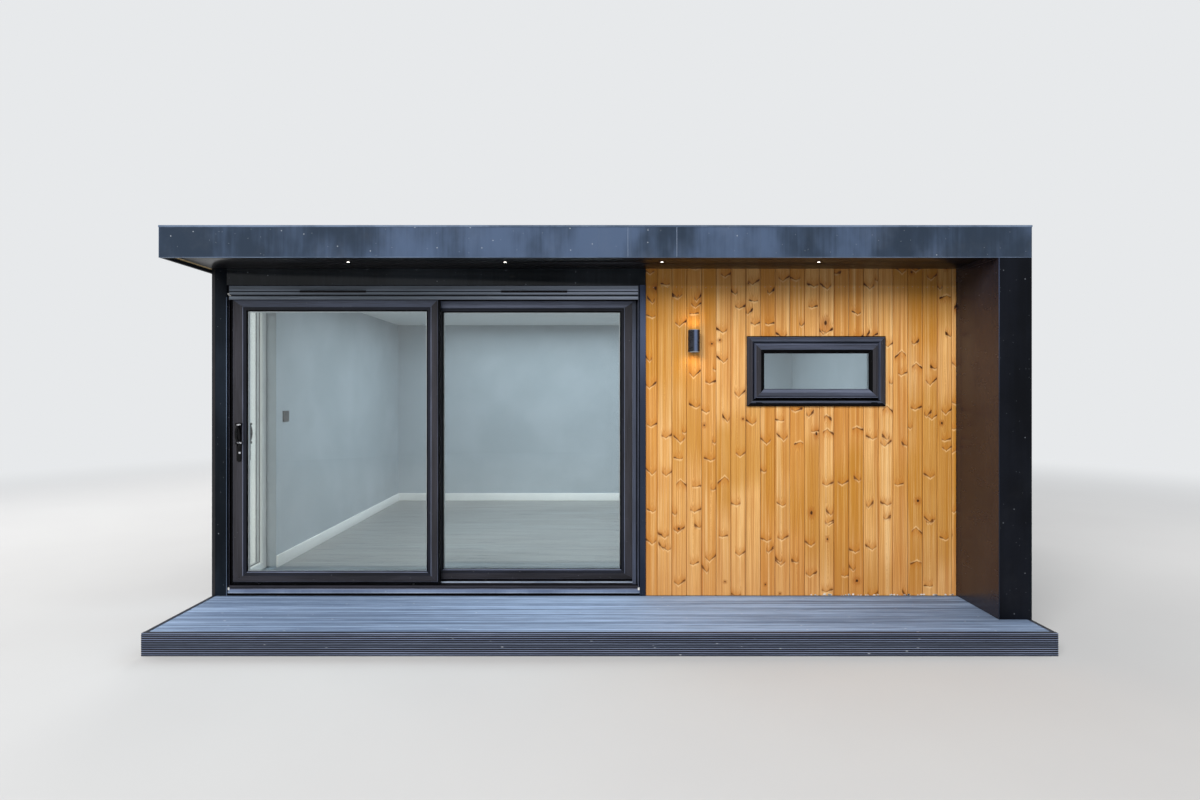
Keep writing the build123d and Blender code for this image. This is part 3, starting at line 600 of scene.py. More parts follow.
def glass(name, tint, shade, smear=0.02):
    """Clear pane that lets daylight pass, with faint smears in its gloss."""
    g = Graph(name)
    film = g.noise(g.stretch(g.place(), 1.0, 1.0, 0.4), 3.0, 5.0, 0.65)
    pane = g.add("BsdfPrincipled", {
        "Base Color": tint, "Roughness": film.step(0.45, 0.8).span(0.0, smear), "IOR": 1.45,
        "Transmission Weight": 1.0, "Specular IOR Level": 0.22,
    })
    clear = g.add("BsdfTransparent", {"Color": shade})
    return g.finish(g.add("MixShader", {0: g.ray("Shadow"), 1: pane, 2: clear}))


def lamp_coat(name):
    """Satin black tube of the wall light, with a painted highlight, the sky's reflection, in a pale
    band down its right half.
    """
    g = Graph(name)
    at = g.place()
    middle = sum(limits("wall_light")[0]) / 2
    soil = g.noise(at, 30.0, 4.0)
    color = g.mix(soil.step(0.4, 0.7), tone(24, 25, 31), tone(36, 38, 46))
    # Painted highlight: the sky's reflection down the tube's right half.
    painted_sky_stripe = abs(g.split(at)[0] - (middle + 0.007)).step(0.018, 0.003)
    color = g.mix(painted_sky_stripe * 0.9, color, tone(92, 106, 136))
    return g.surface(color, soil.span(0.22, 0.34), g.bump(g.noise(at, 420.0, 2.0), 0.0002), 0.3)


def handle_coat(name):
    """Gloss black of the door handles, with painted glints, pale highlights, on the outer grip's ends
    and the lock.
    """
    g = Graph(name)
    at = g.place()
    across, away, height = g.split(at)
    color = g.mix(g.noise(at, 40.0).step(0.4, 0.7), tone(5, 5, 7), tone(12, 12, 15))
    outside = away.math("LESS_THAN", sum(limits("sliding_sash")[1]) / 2)
    broken = outside * g.noise(at, 170.0, 2.0).step(0.40, 0.52)
    # Painted highlights: pale glints on the outer grip's ends and the lock.
    for middle, level, wide, high in HANDLE_PAINTED_GLINTS:
        a = (across - middle) * (1 / wide)
        b = (height - level) * (1 / high)
        spot = (a * a + b * b).math("SQRT").step(1.0, 0.5)
        color = g.mix(spot * broken, color, tone(206, 208, 214))
    rough = g.noise(at, 30.0).span(0.12, 0.22)
    return g.surface(color, rough, g.bump(g.noise(at, 300.0), 0.0001), 0.15)


def lit_lens(name, color, strength, rim):
    """Lamp lens that glows, a little less towards the rim of its own disc."""
    g = Graph(name)
    at = g.attribute("grain")
    glow = g.split(at)[0].step(rim, rim * 0.55)
    return g.finish(g.add("BsdfPrincipled", {
        "Base Color": tone(235, 230, 220), "Roughness": g.noise(at, 400.0).span(0.25, 0.4),
        "Emission Color": color, "Emission Strength": glow.span(strength * 0.35, strength),
    }))


finishes = {}

# Dark and light tone, roughness, gloss, dust, marks, clouds, painted sheen in the middle, painted shade at
# the foot
SHEETS = {
    # Fascia: dark grey coat whose paler, bluish clouds are partly the sky's sheen, painted.
    "fascia": ((42, 53, 68), (75, 91, 117), (0.34, 0.5), 0.12, 0.04, 1.0, 2.6, 0.06),
    # Caps, hems and beads: paler than the fascia, partly their own tone, partly a painted highlight on their
    # edges.
    "lit_cap": ((72, 86, 106), (108, 124, 148)),
    "wing": ((10, 12, 17), (20, 23, 31), (0.34, 0.5), 0.06, 0.01, 0.4),
    # Inner face of the wing: the wing's dark coat made paler and warmer, painted light bounced from the
    # boards.
    "wing_inner_bounce_lit": ((40, 38, 46), (50, 46, 53), (0.2, 0.32), 0.5, 0.01, 0.1),
    "post": ((15, 20, 26), (27, 34, 43), (0.34, 0.5), 0.06, 0.01, 0.7),
    # Cover strip: its own blue-grey, with painted shade darkening its foot.
    "strip": ((58, 68, 92), (76, 88, 114), (0.34, 0.5), 0.15, 0.02, 0.5, 2.0, 0.0, 0.75),
    "soffit": ((14, 14, 18), (26, 24, 27), (0.24, 0.36), 0.4, 0.01, 0.4),
    "gloss": ((24, 28, 32), (42, 47, 53), (0.06, 0.16), 0.2, 0.01, 0.5),
    "panel": ((31, 35, 42), (39, 44, 52), (0.4, 0.55), 0.12, 0.02),
    # Pale coat for thin bright lines along edges and strips: painted highlights.
    "edge": ((128, 142, 164), (170, 184, 204), (0.25, 0.4)),
    # Threshold metal: blue-grey, partly its own tone and partly a painted sheen of the sky.
    "sill": ((98, 112, 138), (124, 140, 168), (0.25, 0.42), 0.2),
}
# Dark and light tone, depth of the grain, gloss, and a painted sheen on the right end. The shaded and
# bevel foils are painted shade (on the window's drain caps, their own black), the lit and pale foils
# painted highlights, and the sky and head foils painted sky sheen
FOILS = {
    "dark": ((34, 33, 37), (52, 51, 58)),
    "shaded": ((5, 5, 7), (12, 12, 15), 0.00035, 0.06),
    "lit": ((84, 90, 108), (114, 122, 144)),
    "sky": ((56, 61, 74), (76, 83, 102)),
    "bevel": ((18, 19, 25), (32, 35, 46), 0.00035, 0.2),
    "head": ((84, 92, 102), (108, 117, 130), 0.00035, 0.35, 0.30),
    "pale": ((104, 114, 126), (130, 140, 154), 0.00035, 0.35, 0.70),
    "slate": ((54, 58, 71), (76, 82, 101)),
    "white": ((222, 224, 224), (232, 234, 233), 0.0001),
}
# Dark, light and worn tone, and a painted sheen that pales the middle
COMPOSITES = {
    "deck": ((96, 113, 139), (156, 177, 207), (116, 132, 156), 0.045),
    "reed": ((17, 20, 27), (31, 36, 48), (26, 29, 38)),
    # The reeds' groove coat is painted shade in the grooves, and their edge coat painted highlight on the
    # ledges.
    "reed_groove_shade": ((8, 9, 12), (16, 18, 24), (12, 13, 17)),
    "reed_ledge_highlight": ((96, 106, 130), (134, 146, 172), (90, 98, 118)),
}


def make_finishes():
    """Builds every material of the pod, by the short name that the pieces use."""
    for key, (dark, light, *rest) in SHEETS.items():
        finishes[key] = coated_sheet(key + "_coat", tone(*dark), tone(*light), *rest)
    for key, (dark, light, *rest) in FOILS.items():
        finishes["foil_" + key] = foil("frame_foil_" + key, tone(*dark), tone(*light), *rest)
    for key, (dark, light, worn, *rest) in COMPOSITES.items():
        finishes[key] = composite(key + "_composite", tone(*dark), tone(*light), tone(*worn), *rest)
    finishes.update({
        "pine": pine("pine_boards"),
        "laminate": laminate("laminate_planks"),
        "wall": paint("wall_paint", tone(150, 161, 169), tone(162, 172, 180), (0.5, 0.65), 0.0001, 90.0),
        "trim": paint("trim_paint", tone(228, 229, 228), tone(236, 236, 234), (0.25, 0.38), 0.0002),
        "ceiling": paint("ceiling_paint", tone(226, 227, 226), tone(234, 234, 232), (0.6, 0.75)),
        "residue": paint("white_residue", tone(214, 212, 206), tone(240, 239, 235), (0.7, 0.9)),
        "sawn": wood("sawn_timber", tone(176, 158, 104), tone(134, 112, 66), 40.0, (0.6, 0.8),
                     tone(104, 100, 70)),
        "planed": wood("planed_timber", tone(214, 190, 140), tone(186, 150, 94), 90.0),
        "boarding": wood("roof_boarding", tone(190, 172, 130), tone(160, 136, 92), 30.0),
        "membrane": membrane("roof_membrane_rubber"),
        "steel": metal("plain_steel", tone(190, 192, 194), (0.18, 0.34), (1.0, 1.0, 8.0)),
        "track": metal("track_aluminium", tone(222, 224, 228), (0.16, 0.3), (0.05, 1.0, 1.0)),
        "spacer": metal("spacer_bar", tone(206, 210, 214), (0.3, 0.45)),
        "lamp": lamp_coat("lamp_coat"),
        "handle": handle_coat("handle_coat"),
        "fitting": plastic("fitting_black", tone(20, 21, 23), tone(34, 35, 38)),
        "rubber": plastic("gasket_rubber", tone(4, 4, 5), tone(12, 12, 14), (0.6, 0.75), 0.06),
        "glass": glass("sealed_glass", tone(250, 253, 252), (0.965, 0.98, 0.98, 1.0)),
        "led": lit_lens("downlight_lens", tone(255, 248, 238), 8.0, 0.010),
        "glow": lit_lens("lamp_lens", tone(255, 190, 104), 12.0, 0.034),
    })


def grain_order(along):
    """The three axes with the one that the grain runs along first."""
    return [along] + [axis for axis in range(3) if axis != along]


class Mould:
    """Gathers the faces of one piece, with a grain coordinate whose first axis runs along it."""

    def __init__(self):
        self.mesh = bmesh.new()
        self.grain = self.mesh.verts.layers.float_vector.new("grain")

    def vert(self, place, grain):
        made = self.mesh.verts.new(place)
        made[self.grain] = grain
        return made

    def face(self, verts, finish=0):
        self.mesh.faces.new(verts).material_index = finish

    def band(self, near, far, coats):
        """Faces between two rings of points, each with its own finish."""
        for i, coat in enumerate(coats):
            j = (i + 1) % len(near)
            self.face([near[i], far[i], far[j], near[j]], int(coat))

    def prism(self, outline, axis, span, finish=0, along=None, shift=(0, 0, 0), sides=None):
        """Outline of points across an axis, carried over a span of it. sides has the finish of each
        side, in the order of the points where they start."""
        order = grain_order(axis if along is None else along)
        ends = []
        for level in span:
            places = [(*point[:axis], level, *point[axis:]) for point in outline]
            ends.append([self.vert(at, Vector([at[k] for k in order]) + Vector(shift)) for at in places])
        self.face(ends[0], finish)
        self.face(ends[1][::-1], finish)
        self.band(*ends, sides or [finish] * len(outline))

    def block(self, x, y, z, finish=0, along=0, shift=(0, 0, 0)):
        self.prism([(x[0], y[0]), (x[1], y[0]), (x[1], y[1]), (x[0], y[1])], 2, z, finish, along, shift)

    def lathe(self, profile, centre, axis, sides=32):
        """Profile of (radius, distance along the axis) points, turned round the axis."""
        across = grain_order(axis)[1:]
        rings = []
        for radius, level in profile:
            ring = []
            for i in range(sides):
                angle = 2 * math.pi * i / sides
                place = Vector(centre)
                place[axis] += level
                place[across[0]] += radius * math.cos(angle)
                place[across[1]] += radius * math.sin(angle)
                ring.append(self.vert(place, (radius, angle, level)))
            rings.append(ring)
        for low, high in zip(rings, rings[1:]):
            self.band(low, high, [0] * sides)
        self.face(rings[0][::-1])
        self.face(rings[-1])

    def bars(self, outer, light, profile, place, shift=0.0, finish=0, paint=None):
        """Four mitred bars round a light: left, right, lower and upper. A profile point is (from the
        outer edge or not, offset, depth). paint has the finishes of each bar's faces."""

        def edge(side, from_outer, offset):
            inward = -offset if side % 2 else offset
            if from_outer:
                return outer[side // 2][side % 2] + inward
            return light[side // 2][side % 2] - inward

        for side in range(4):
            upright = side < 2
            rows = []
            for end, trim in zip((2, 3) if upright else (0, 1), (MITRE_GAP, -MITRE_GAP)):
                row = []
                for from_outer, offset, depth in profile:
                    a = edge(side, from_outer, offset)
                    b = edge(end, from_outer, offset) + trim
                    at = place(a, b, depth) if upright else place(b, a, depth)
                    row.append(self.vert(at, (b + side * 3.7 + shift, a + side * 1.3, depth)))
                rows.append(row)
            self.band(*rows, paint[side] if paint else [finish] * len(profile))
            self.face(rows[0][::-1], finish)
            self.face(rows[1], finish)

    def piece(self, name, materials, replaces=(), bevel=0.0, segments=2, body="pod"):
        """Makes the object, softens its edges and ties it to its body."""
        bmesh.ops.recalc_face_normals(self.mesh, faces=self.mesh.faces)
        data = bpy.data.meshes.new(name)
        self.mesh.to_mesh(data)
        self.mesh.free()
        dress(name, data, materials, replaces, bevel, segments, body)


def dress(name, data, materials, replaces, bevel, segments, body):
    """Puts a mesh in the scene with its finishes, soft edges, body and replaced nodes."""
    made = bpy.data.objects.new(name, data)
    bpy.context.scene.collection.objects.link(made)
    for key in materials:
        data.materials.append(finishes[key])
    if bevel > 0:
        data.shade_smooth()
        soft = made.modifiers.new("soft_edges", "BEVEL")
        soft.width = bevel
        soft.segments = segments
        soft.limit_method = "ANGLE"
        soft.angle_limit = math.radians(SOFT_ANGLE)
        soft.harden_normals = True
        soft.use_clamp_overlap = True
    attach(made, body)
    if replaces:
        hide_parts(*replaces)
    return made


def limits(node):
    """The node's box as (x, y, z) pairs of low and high."""
    return list(zip(*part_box(node)))


def middle_of(pair):
    return sum(pair) / 2


def merged(node):
    """The node's own shape with its doubled points joined."""
    shape = bmesh.new()
    shape.from_mesh(frame["nodes"][node].data)
    bmesh.ops.remove_doubles(shape, verts=shape.verts, dist=MERGE_DISTANCE)
    return shape


def split_solids(node):
    """Box of each separate solid in a node, as (x, y, z) limits."""
    shape = merged(node)
    todo = set(shape.verts)
    boxes = []
    while todo:
        solid = [todo.pop()]
        for vert in solid:
            near = {edge.other_vert(vert) for edge in vert.link_edges} & todo
            todo -= near
            solid.extend(near)
        boxes.append([(min(v.co[k] for v in solid), max(v.co[k] for v in solid)) for k in range(3)])
    shape.free()
    return sorted(boxes)


def softened(node, finish, bevel, along):
    """The node's own shape with softened edges, its grain running along one axis."""
    shape = merged(node)
    bmesh.ops.dissolve_limit(
        shape, angle_limit=math.radians(FLAT_ANGLE), verts=shape.verts, edges=shape.edges, delimit={"NORMAL"}
    )
    grain = shape.verts.layers.float_vector.new("grain")
    for vert in shape.verts:
        vert[grain] = [vert.co[axis] for axis in grain_order(along)]
    for face in shape.faces:
        face.material_index = 0
    data = bpy.data.meshes.new(node + "_finished")
    shape.to_mesh(data)
    shape.free()
    body = frame["nodes"][node]["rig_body"]
    return dress(node + "_finished", data, [finish], [node], bevel, 2, body)


def recoat(node, finish):
    """Keeps the node's own mesh and gives it a better material."""
    data = frame["nodes"][node].data
    data.materials.clear()
    data.materials.append(finishes[finish])


def beside(hole, z, a, b):
    """Heights of a board from a to b: all of z, or what a hole leaves under and over it."""
    if hole and hole[0][0] - TINY <= a and b <= hole[0][1] + TINY:
        return [(z[0], hole[1][0]), (hole[1][1], z[1])]
    return [z]


def stepped(first, last, pitch):
    """Edges from the last of the first ones on, a pitch apart, up to the last edge."""
    edges = list(first)
    while edges[-1] + pitch < last:
        edges.append(edges[-1] + pitch)
    return edges + [last]


def front_boards():
    """Upright V-jointed boards, notched round the window, with a row of nails at the top."""
    x, y, z = limits("front_cladding")
    hole_x, _, hole_z = limits("window_frame")
    face, chamfer, floor = y[0], y[0] + BOARD_CHAMFER_DEPTH, y[0] + BOARD_GAP_DEPTH
    edges = stepped([x[0], x[0] + BOARD_FIRST], x[1], BOARD_PITCH)
    boards = Mould()
    layer = boards.mesh.verts.layers.float_vector.new("board")
    nails = Mould()
    for number, (left, right) in enumerate(zip(edges, edges[1:])):
        start = len(boards.mesh.verts)
        cuts = [left] + [edge for edge in hole_x if left < edge < right] + [right]
        for a, b in zip(cuts, cuts[1:]):
            outline = [(b, y[1]), (a, y[1])]
            if a == left:
                gap = a + BOARD_GAP
                outline += [(a, floor), (gap, floor), (gap, chamfer), (gap + BOARD_CHAMFER, face)]
            else:
                outline += [(a, face)]
            outline += [(b - BOARD_CHAMFER, face), (b, chamfer)] if b == right else [(b, face)]
            for span in beside((hole_x, hole_z), z, a, b):
                boards.prism(outline, 2, span)
        boards.mesh.verts.ensure_lookup_table()
        for vert in boards.mesh.verts[start:]:
            across = (vert.co.x - middle_of((left, right))) * BOARD_PITCH / max(right - left, BOARD_PITCH)
            vert[layer] = (across, vert.co.z, number)
        for share in NAIL_SHARES:
            height = NAIL_HEIGHT + rng.uniform(-NAIL_DRIFT, NAIL_DRIFT)
            nails.lathe(NAIL_PROFILE, (left + (right - left) * share, face - NAIL_RISE, height), 1, 10)
    boards.piece("front_boards", ["pine"], ["front_cladding"], 0.0007, 1)
    nails.piece("board_nails", ["steel"])


def grooved_outline(near, far, low, high):
    """Deck board's section: eased corners and fine grooves along its upper face."""
    ease = DECK_EDGE / 2
    half = DECK_GROOVE_WIDTH / 2
    floor = high - DECK_GROOVE_DEPTH
    outline = [(near, low), (near, high - ease), (near + ease, high)]
    count = int((far - near - 4 * DECK_EDGE) / DECK_GROOVE_PITCH)
    start = (near + far - (count - 1) * DECK_GROOVE_PITCH) / 2
    for i in range(count):
        middle = start + i * DECK_GROOVE_PITCH
        outline += [(middle - half, high), (middle - half / 2, floor), (middle + half / 2, floor),
                    (middle + half, high)]
    return outline + [(far - ease, high), (far, high - ease), (far, low)]


def reeded_outline(face, outward, inner, low, high):
    """Board on edge as (distance, height) points: flat lands, a lit ledge over each, dark grooves."""
    outline = [(inner, low), (face, low)]
    slope = face - outward * REED_SLOPE
    floor = face - outward * REED_DEPTH
    for i in range(REED_COUNT):
        foot = low + REED_START + i * REED_PITCH
        ledge = foot + REED_LEDGE
        outline += [(face, foot), (slope, ledge), (floor, ledge + REED_EASE), (floor, ledge + REED_GROOVE),
                    (face, ledge + REED_GROOVE + REED_EASE)]
    return outline + [(face, high - REED_CORNER), (face - outward * REED_CORNER, high), (inner, high)]


def deck():
    """Grooved boards, and the reeded boards on edge round them."""
    boards = Mould()
    for number, (x, y, z) in enumerate(sorted(split_solids("deck_boards"), key=lambda box: box[1])):
        boards.prism(grooved_outline(*y, *z), 0, x, shift=(number * 7.3, number * 0.9, 0))
    boards.piece("grooved_deck_boards", ["deck"], ["deck_boards"], 0.0004, 1)
    edge = Mould()
    # Painted highlight on each reed's ledge and slope, and painted shade in its groove.
    reed_paint = "00" + "12220" * REED_COUNT + "101"
    for number, (x, y, z) in enumerate(split_solids("deck_fascia")):
        wide = x[1] - x[0] > 1.0
        outward = -1 if wide or x[0] < 0 else 1
        face, inner = (y if wide else x)[::-outward]
        outline = reeded_outline(face, outward, inner, *z)
        edge.prism(outline, 0 if wide else 1, x if wide else y, shift=(number * 5.1, 0, 0), sides=reed_paint)
    edge.piece("reeded_deck_edge", ["reed", "reed_ledge_highlight", "reed_groove_shade"], ["deck_fascia"],
               0.0003, 1)


# Finishes of each bar's faces round its section, for the left, right, lower and upper bar: 0 plain,
# 1 room side, 2 gap in painted shade, 3 painted highlight, 4 gasket, 5 band of painted sky sheen,
# 6 bevel in painted shade; in the window, 6 is the darker foil, painted shade on the side bars
SASH_PAINT = ("223033664000111111", "223033664000111111", "223000663000111111", "223555664000111111")
FIXED_PAINT = (*SASH_PAINT[:3], "223355664000111111")
WINDOW_FRAME_PAINT = ("2666666002001", "2666666002001", "2222235222001", "2200005552001")
WINDOW_SASH_PAINT = (
    "2000666666644400111", "2000666666644400111", "2223022000033300111", "2553000005044400111",
)
# The shaded and bevel foils paint shade, the lit and pale foils and the sill's edge coat paint highlights,
# and the sky and head foils paint the sky's sheen.
FRAME_FINISHES = ["foil_dark", "foil_white", "foil_shaded", "foil_lit", "rubber", "foil_sky", "foil_bevel"]
HEAD_FINISHES = ["foil_dark", "foil_white", "foil_shaded", "foil_pale", "rubber", "foil_head"]
WINDOW_FINISHES = ["foil_slate", "foil_white", "foil_shaded", "foil_lit", "rubber", "foil_sky", "foil_dark"]
SILL_FINISHES = ["sill", "foil_dark", "track", "edge", "foil_shaded", "foil_lit"]


def sash_section(depth, at):
    """Bar section: stepped outer edge, flat face, ridge, sloping bead, glass groove and inner bead."""
    bead, step, back = 0.026, 0.003, depth - at
    return [
        (True, 0.0, depth - 0.002), (True, 0.0, step), (True, 0.0125, step), (True, 0.0150, 0.0),
        (False, bead + 0.0045, 0.0), (False, bead + 0.0030, -0.0011), (False, bead, -0.0009),
        (False, bead - 0.002, 0.0012), (False, 0.006, at - 0.0040), (False, 0.0, at - 0.0004),
        (False, 0.0, at), (False, PANE_EDGE + 0.002, at), (False, PANE_EDGE + 0.002, back),
        (False, 0.0, back), (False, 0.0, back + 0.0004), (False, 0.006, depth - 0.004),
        (False, bead - 0.006, depth), (True, 0.002, depth),
    ]


def window_sash_section(depth, at):
    """Bar section of the top-hung window: rounded edge, ridge, two beads, glass groove, inner slope."""
    return [
        (True, 0.0, depth), (True, 0.0, 0.014), (True, 0.002, 0.0105), (True, 0.010, 0.0008),
        (True, 0.012, 0.0), (True, 0.018, 0.0), (True, 0.0195, 0.0022), (True, 0.0215, 0.0022),
        (True, 0.023, 0.0004), (False, 0.0300, 0.0004), (False, 0.0250, 0.0024), (False, 0.0215, 0.0030),
        (False, 0.0195, 0.0060), (False, 0.0, at - 0.0004), (False, 0.0, at), (False, PANE_EDGE + 0.002, at),
        (False, PANE_EDGE + 0.002, depth - at), (False, 0.0, depth - at), (False, 0.012, depth),
    ]


def grown(light, amount):
    """A light made wider on all sides, or narrower by a negative amount."""
    return [(low - amount, high + amount) for low, high in light]


def glazing(name, node, body, light, place, at, depth, gasket, spacer):
    """Two panes with a spacer bar between them, and black gaskets on both faces."""
    edge = grown(light, PANE_EDGE)
    panes = Mould()
    for start in (at + PANE_GAP, depth - at - PANE_GAP - PANE):
        near, far = [
            [panes.mesh.verts.new(place(a, b, depth_at)) for a in edge[0] for b in edge[1]]
            for depth_at in (start, start + PANE)
        ]
        panes.face([near[i] for i in (0, 2, 3, 1)])
        panes.face([far[i] for i in (0, 1, 3, 2)])
        for i, j in ((0, 1), (1, 3), (3, 2), (2, 0)):
            panes.face([near[i], near[j], far[j], far[i]])
    panes.piece(name, ["glass"], [node], body=body)
    rims = Mould()
    gap = (at + PANE + SPACER_GAP, depth - at - PANE - SPACER_GAP)
    bar = [(True, 0.0, gap[0]), (False, 0.0, gap[0]), (False, 0.0, gap[1]), (True, 0.0, gap[1])]
    rims.bars(grown(light, SPACER_EDGE), grown(light, -spacer), bar, place)
    for face, out in ((at, -1), (depth - at, 1)):
        lip = [(True, 0.0, face), (True, 0.0, face + out * GASKET_RISE),
               (False, GASKET_EASE, face + out * GASKET_TIP), (False, 0.0, face)]
        rims.bars(light, grown(light, -gasket), lip, place, finish=1)
    rims.piece(name + "_rims", ["spacer", "rubber"], body=body)


def glazed(node, pane, names, section, shift, paint, coats, gasket=0.003, spacer=0.005, run=0):
    """One framed pane that runs along X in the front, or with run 1 along Y in the left side."""
    box = limits(node)
    pane_box = limits(pane)
    body = frame["nodes"][node]["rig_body"]
    face, back = box[1 - run]
    at = pane_box[1 - run][0] - face
    light = grown((pane_box[run], pane_box[2]), -PANE_EDGE)

    def place(a, b, depth):
        return (face + depth, a, b) if run else (a, face + depth, b)

    bars = Mould()
    bars.bars((box[run], box[2]), light, section(back - face, at), place, shift, paint=paint)
    bars.piece(names[0], coats, [node], 0.0005, 1, body)
    glazing(names[1], pane, body, light, place, at, back - face, gasket, spacer)


def door_sashes():
    """The two framed panes of the patio door."""
    for kind, shift, paint in (("sliding", 0.0, SASH_PAINT), ("fixed", 9.0, FIXED_PAINT)):
        names = (kind + "_sash_profiles", kind + "_glass_unit")
        glazed(kind + "_sash", kind + "_glass", names, sash_section, shift, paint, FRAME_FINISHES,
               spacer=0.008)


def windows():
    """The top-hung window in the boards, and the fixed window in the left wall."""
    x, (face, back), z = limits("window_frame")
    sash_x, _, sash_z = limits("window_sash")
    depth = back - face
    section = [
        (True, 0.0, depth), (True, 0.0, 0.007), (True, 0.007, 0.0010), (True, 0.017, 0.0),
        (True, 0.0185, 0.0026), (True, 0.0215, 0.0026), (True, 0.023, 0.0002), (True, 0.036, 0.0),
        (False, 0.002, 0.0115), (False, 0.0, 0.0150), (False, 0.0, depth - 0.024),
        (False, -0.012, depth - 0.024), (False, -0.012, depth),
    ]
    bars = Mould()
    bars.bars((x, z), grown((sash_x, sash_z), HUNG_GAP), section, lambda a, b, deep: (a, face + deep, b),
              paint=WINDOW_FRAME_PAINT)
    bars.piece("window_frame_profiles", WINDOW_FINISHES, ["window_frame"], 0.0005, 1)
    glazed("window_sash", "window_glass", ("window_sash_profiles", "window_glass_unit"), window_sash_section,
           5.0, WINDOW_SASH_PAINT, WINDOW_FINISHES, 0.0025, 0.0015)
    caps = Mould()
    for cap_x in ((x[0] + DRAIN_NEAR, x[0] + DRAIN_FAR), (x[1] - DRAIN_FAR, x[1] - DRAIN_NEAR)):
        caps.block(cap_x, (face - 0.0022, face + 0.001), (z[0] + 0.010, z[0] + 0.026))
    caps.piece("window_drain_caps", ["foil_shaded"], bevel=0.0012)
    glazed("side_window_frame", "side_window_glass", ("side_window_profiles", "side_window_glass_unit"),
           sash_section, 13.0, SASH_PAINT, FRAME_FINISHES, run=1)


# Door head: depth, drop from the top, and the finish of the face below that point; the finishes
# paint shade, highlights and the sky's sheen on the mouldings
HEAD_STEPS = (
    (0.0014, 0.0, 2), (0.0, 0.0030, 5), (0.0, 0.0265, 3), (-0.0008, 0.0275, 3), (-0.0008, 0.0390, 2),
    (0.0020, 0.0400, 2), (0.0020, 0.0440, 2), (0.0, 0.0450, 3), (-0.0018, 0.0462, 3),
    (-0.0018, 0.0570, 5), (-0.0010, 0.0580, 5), (-0.0010, 0.0635, 2), (0.0060, 0.0650, 2),
    (0.0060, 0.0705, 2), (0.0, 0.0715, 5), (-0.0012, 0.0730, 5), (-0.0012, 0.0800, 3),
    (-0.0016, 0.0810, 3), (-0.0016, 0.0880, 5), (-0.0008, 0.0890, 5), (-0.0008, 0.0960, 2),
)
# Threshold's nose: depth, height from the foot, and the finish of the face above that point; the
# finishes paint shade and highlights on the nose
NOSE_STEPS = (
    (0.0080, 0.0115, 4), (0.0012, 0.0120, 4), (-0.0012, 0.0145, 3), (-0.0012, 0.0190, 0),
    (0.0, 0.0200, 0), (0.0, 0.0370, 5), (0.0, 0.0425, 5), (0.0022, 0.0440, 4), (0.0040, 0.0465, 4),
    (0.0045, SILL_HEIGHT, 1),
)


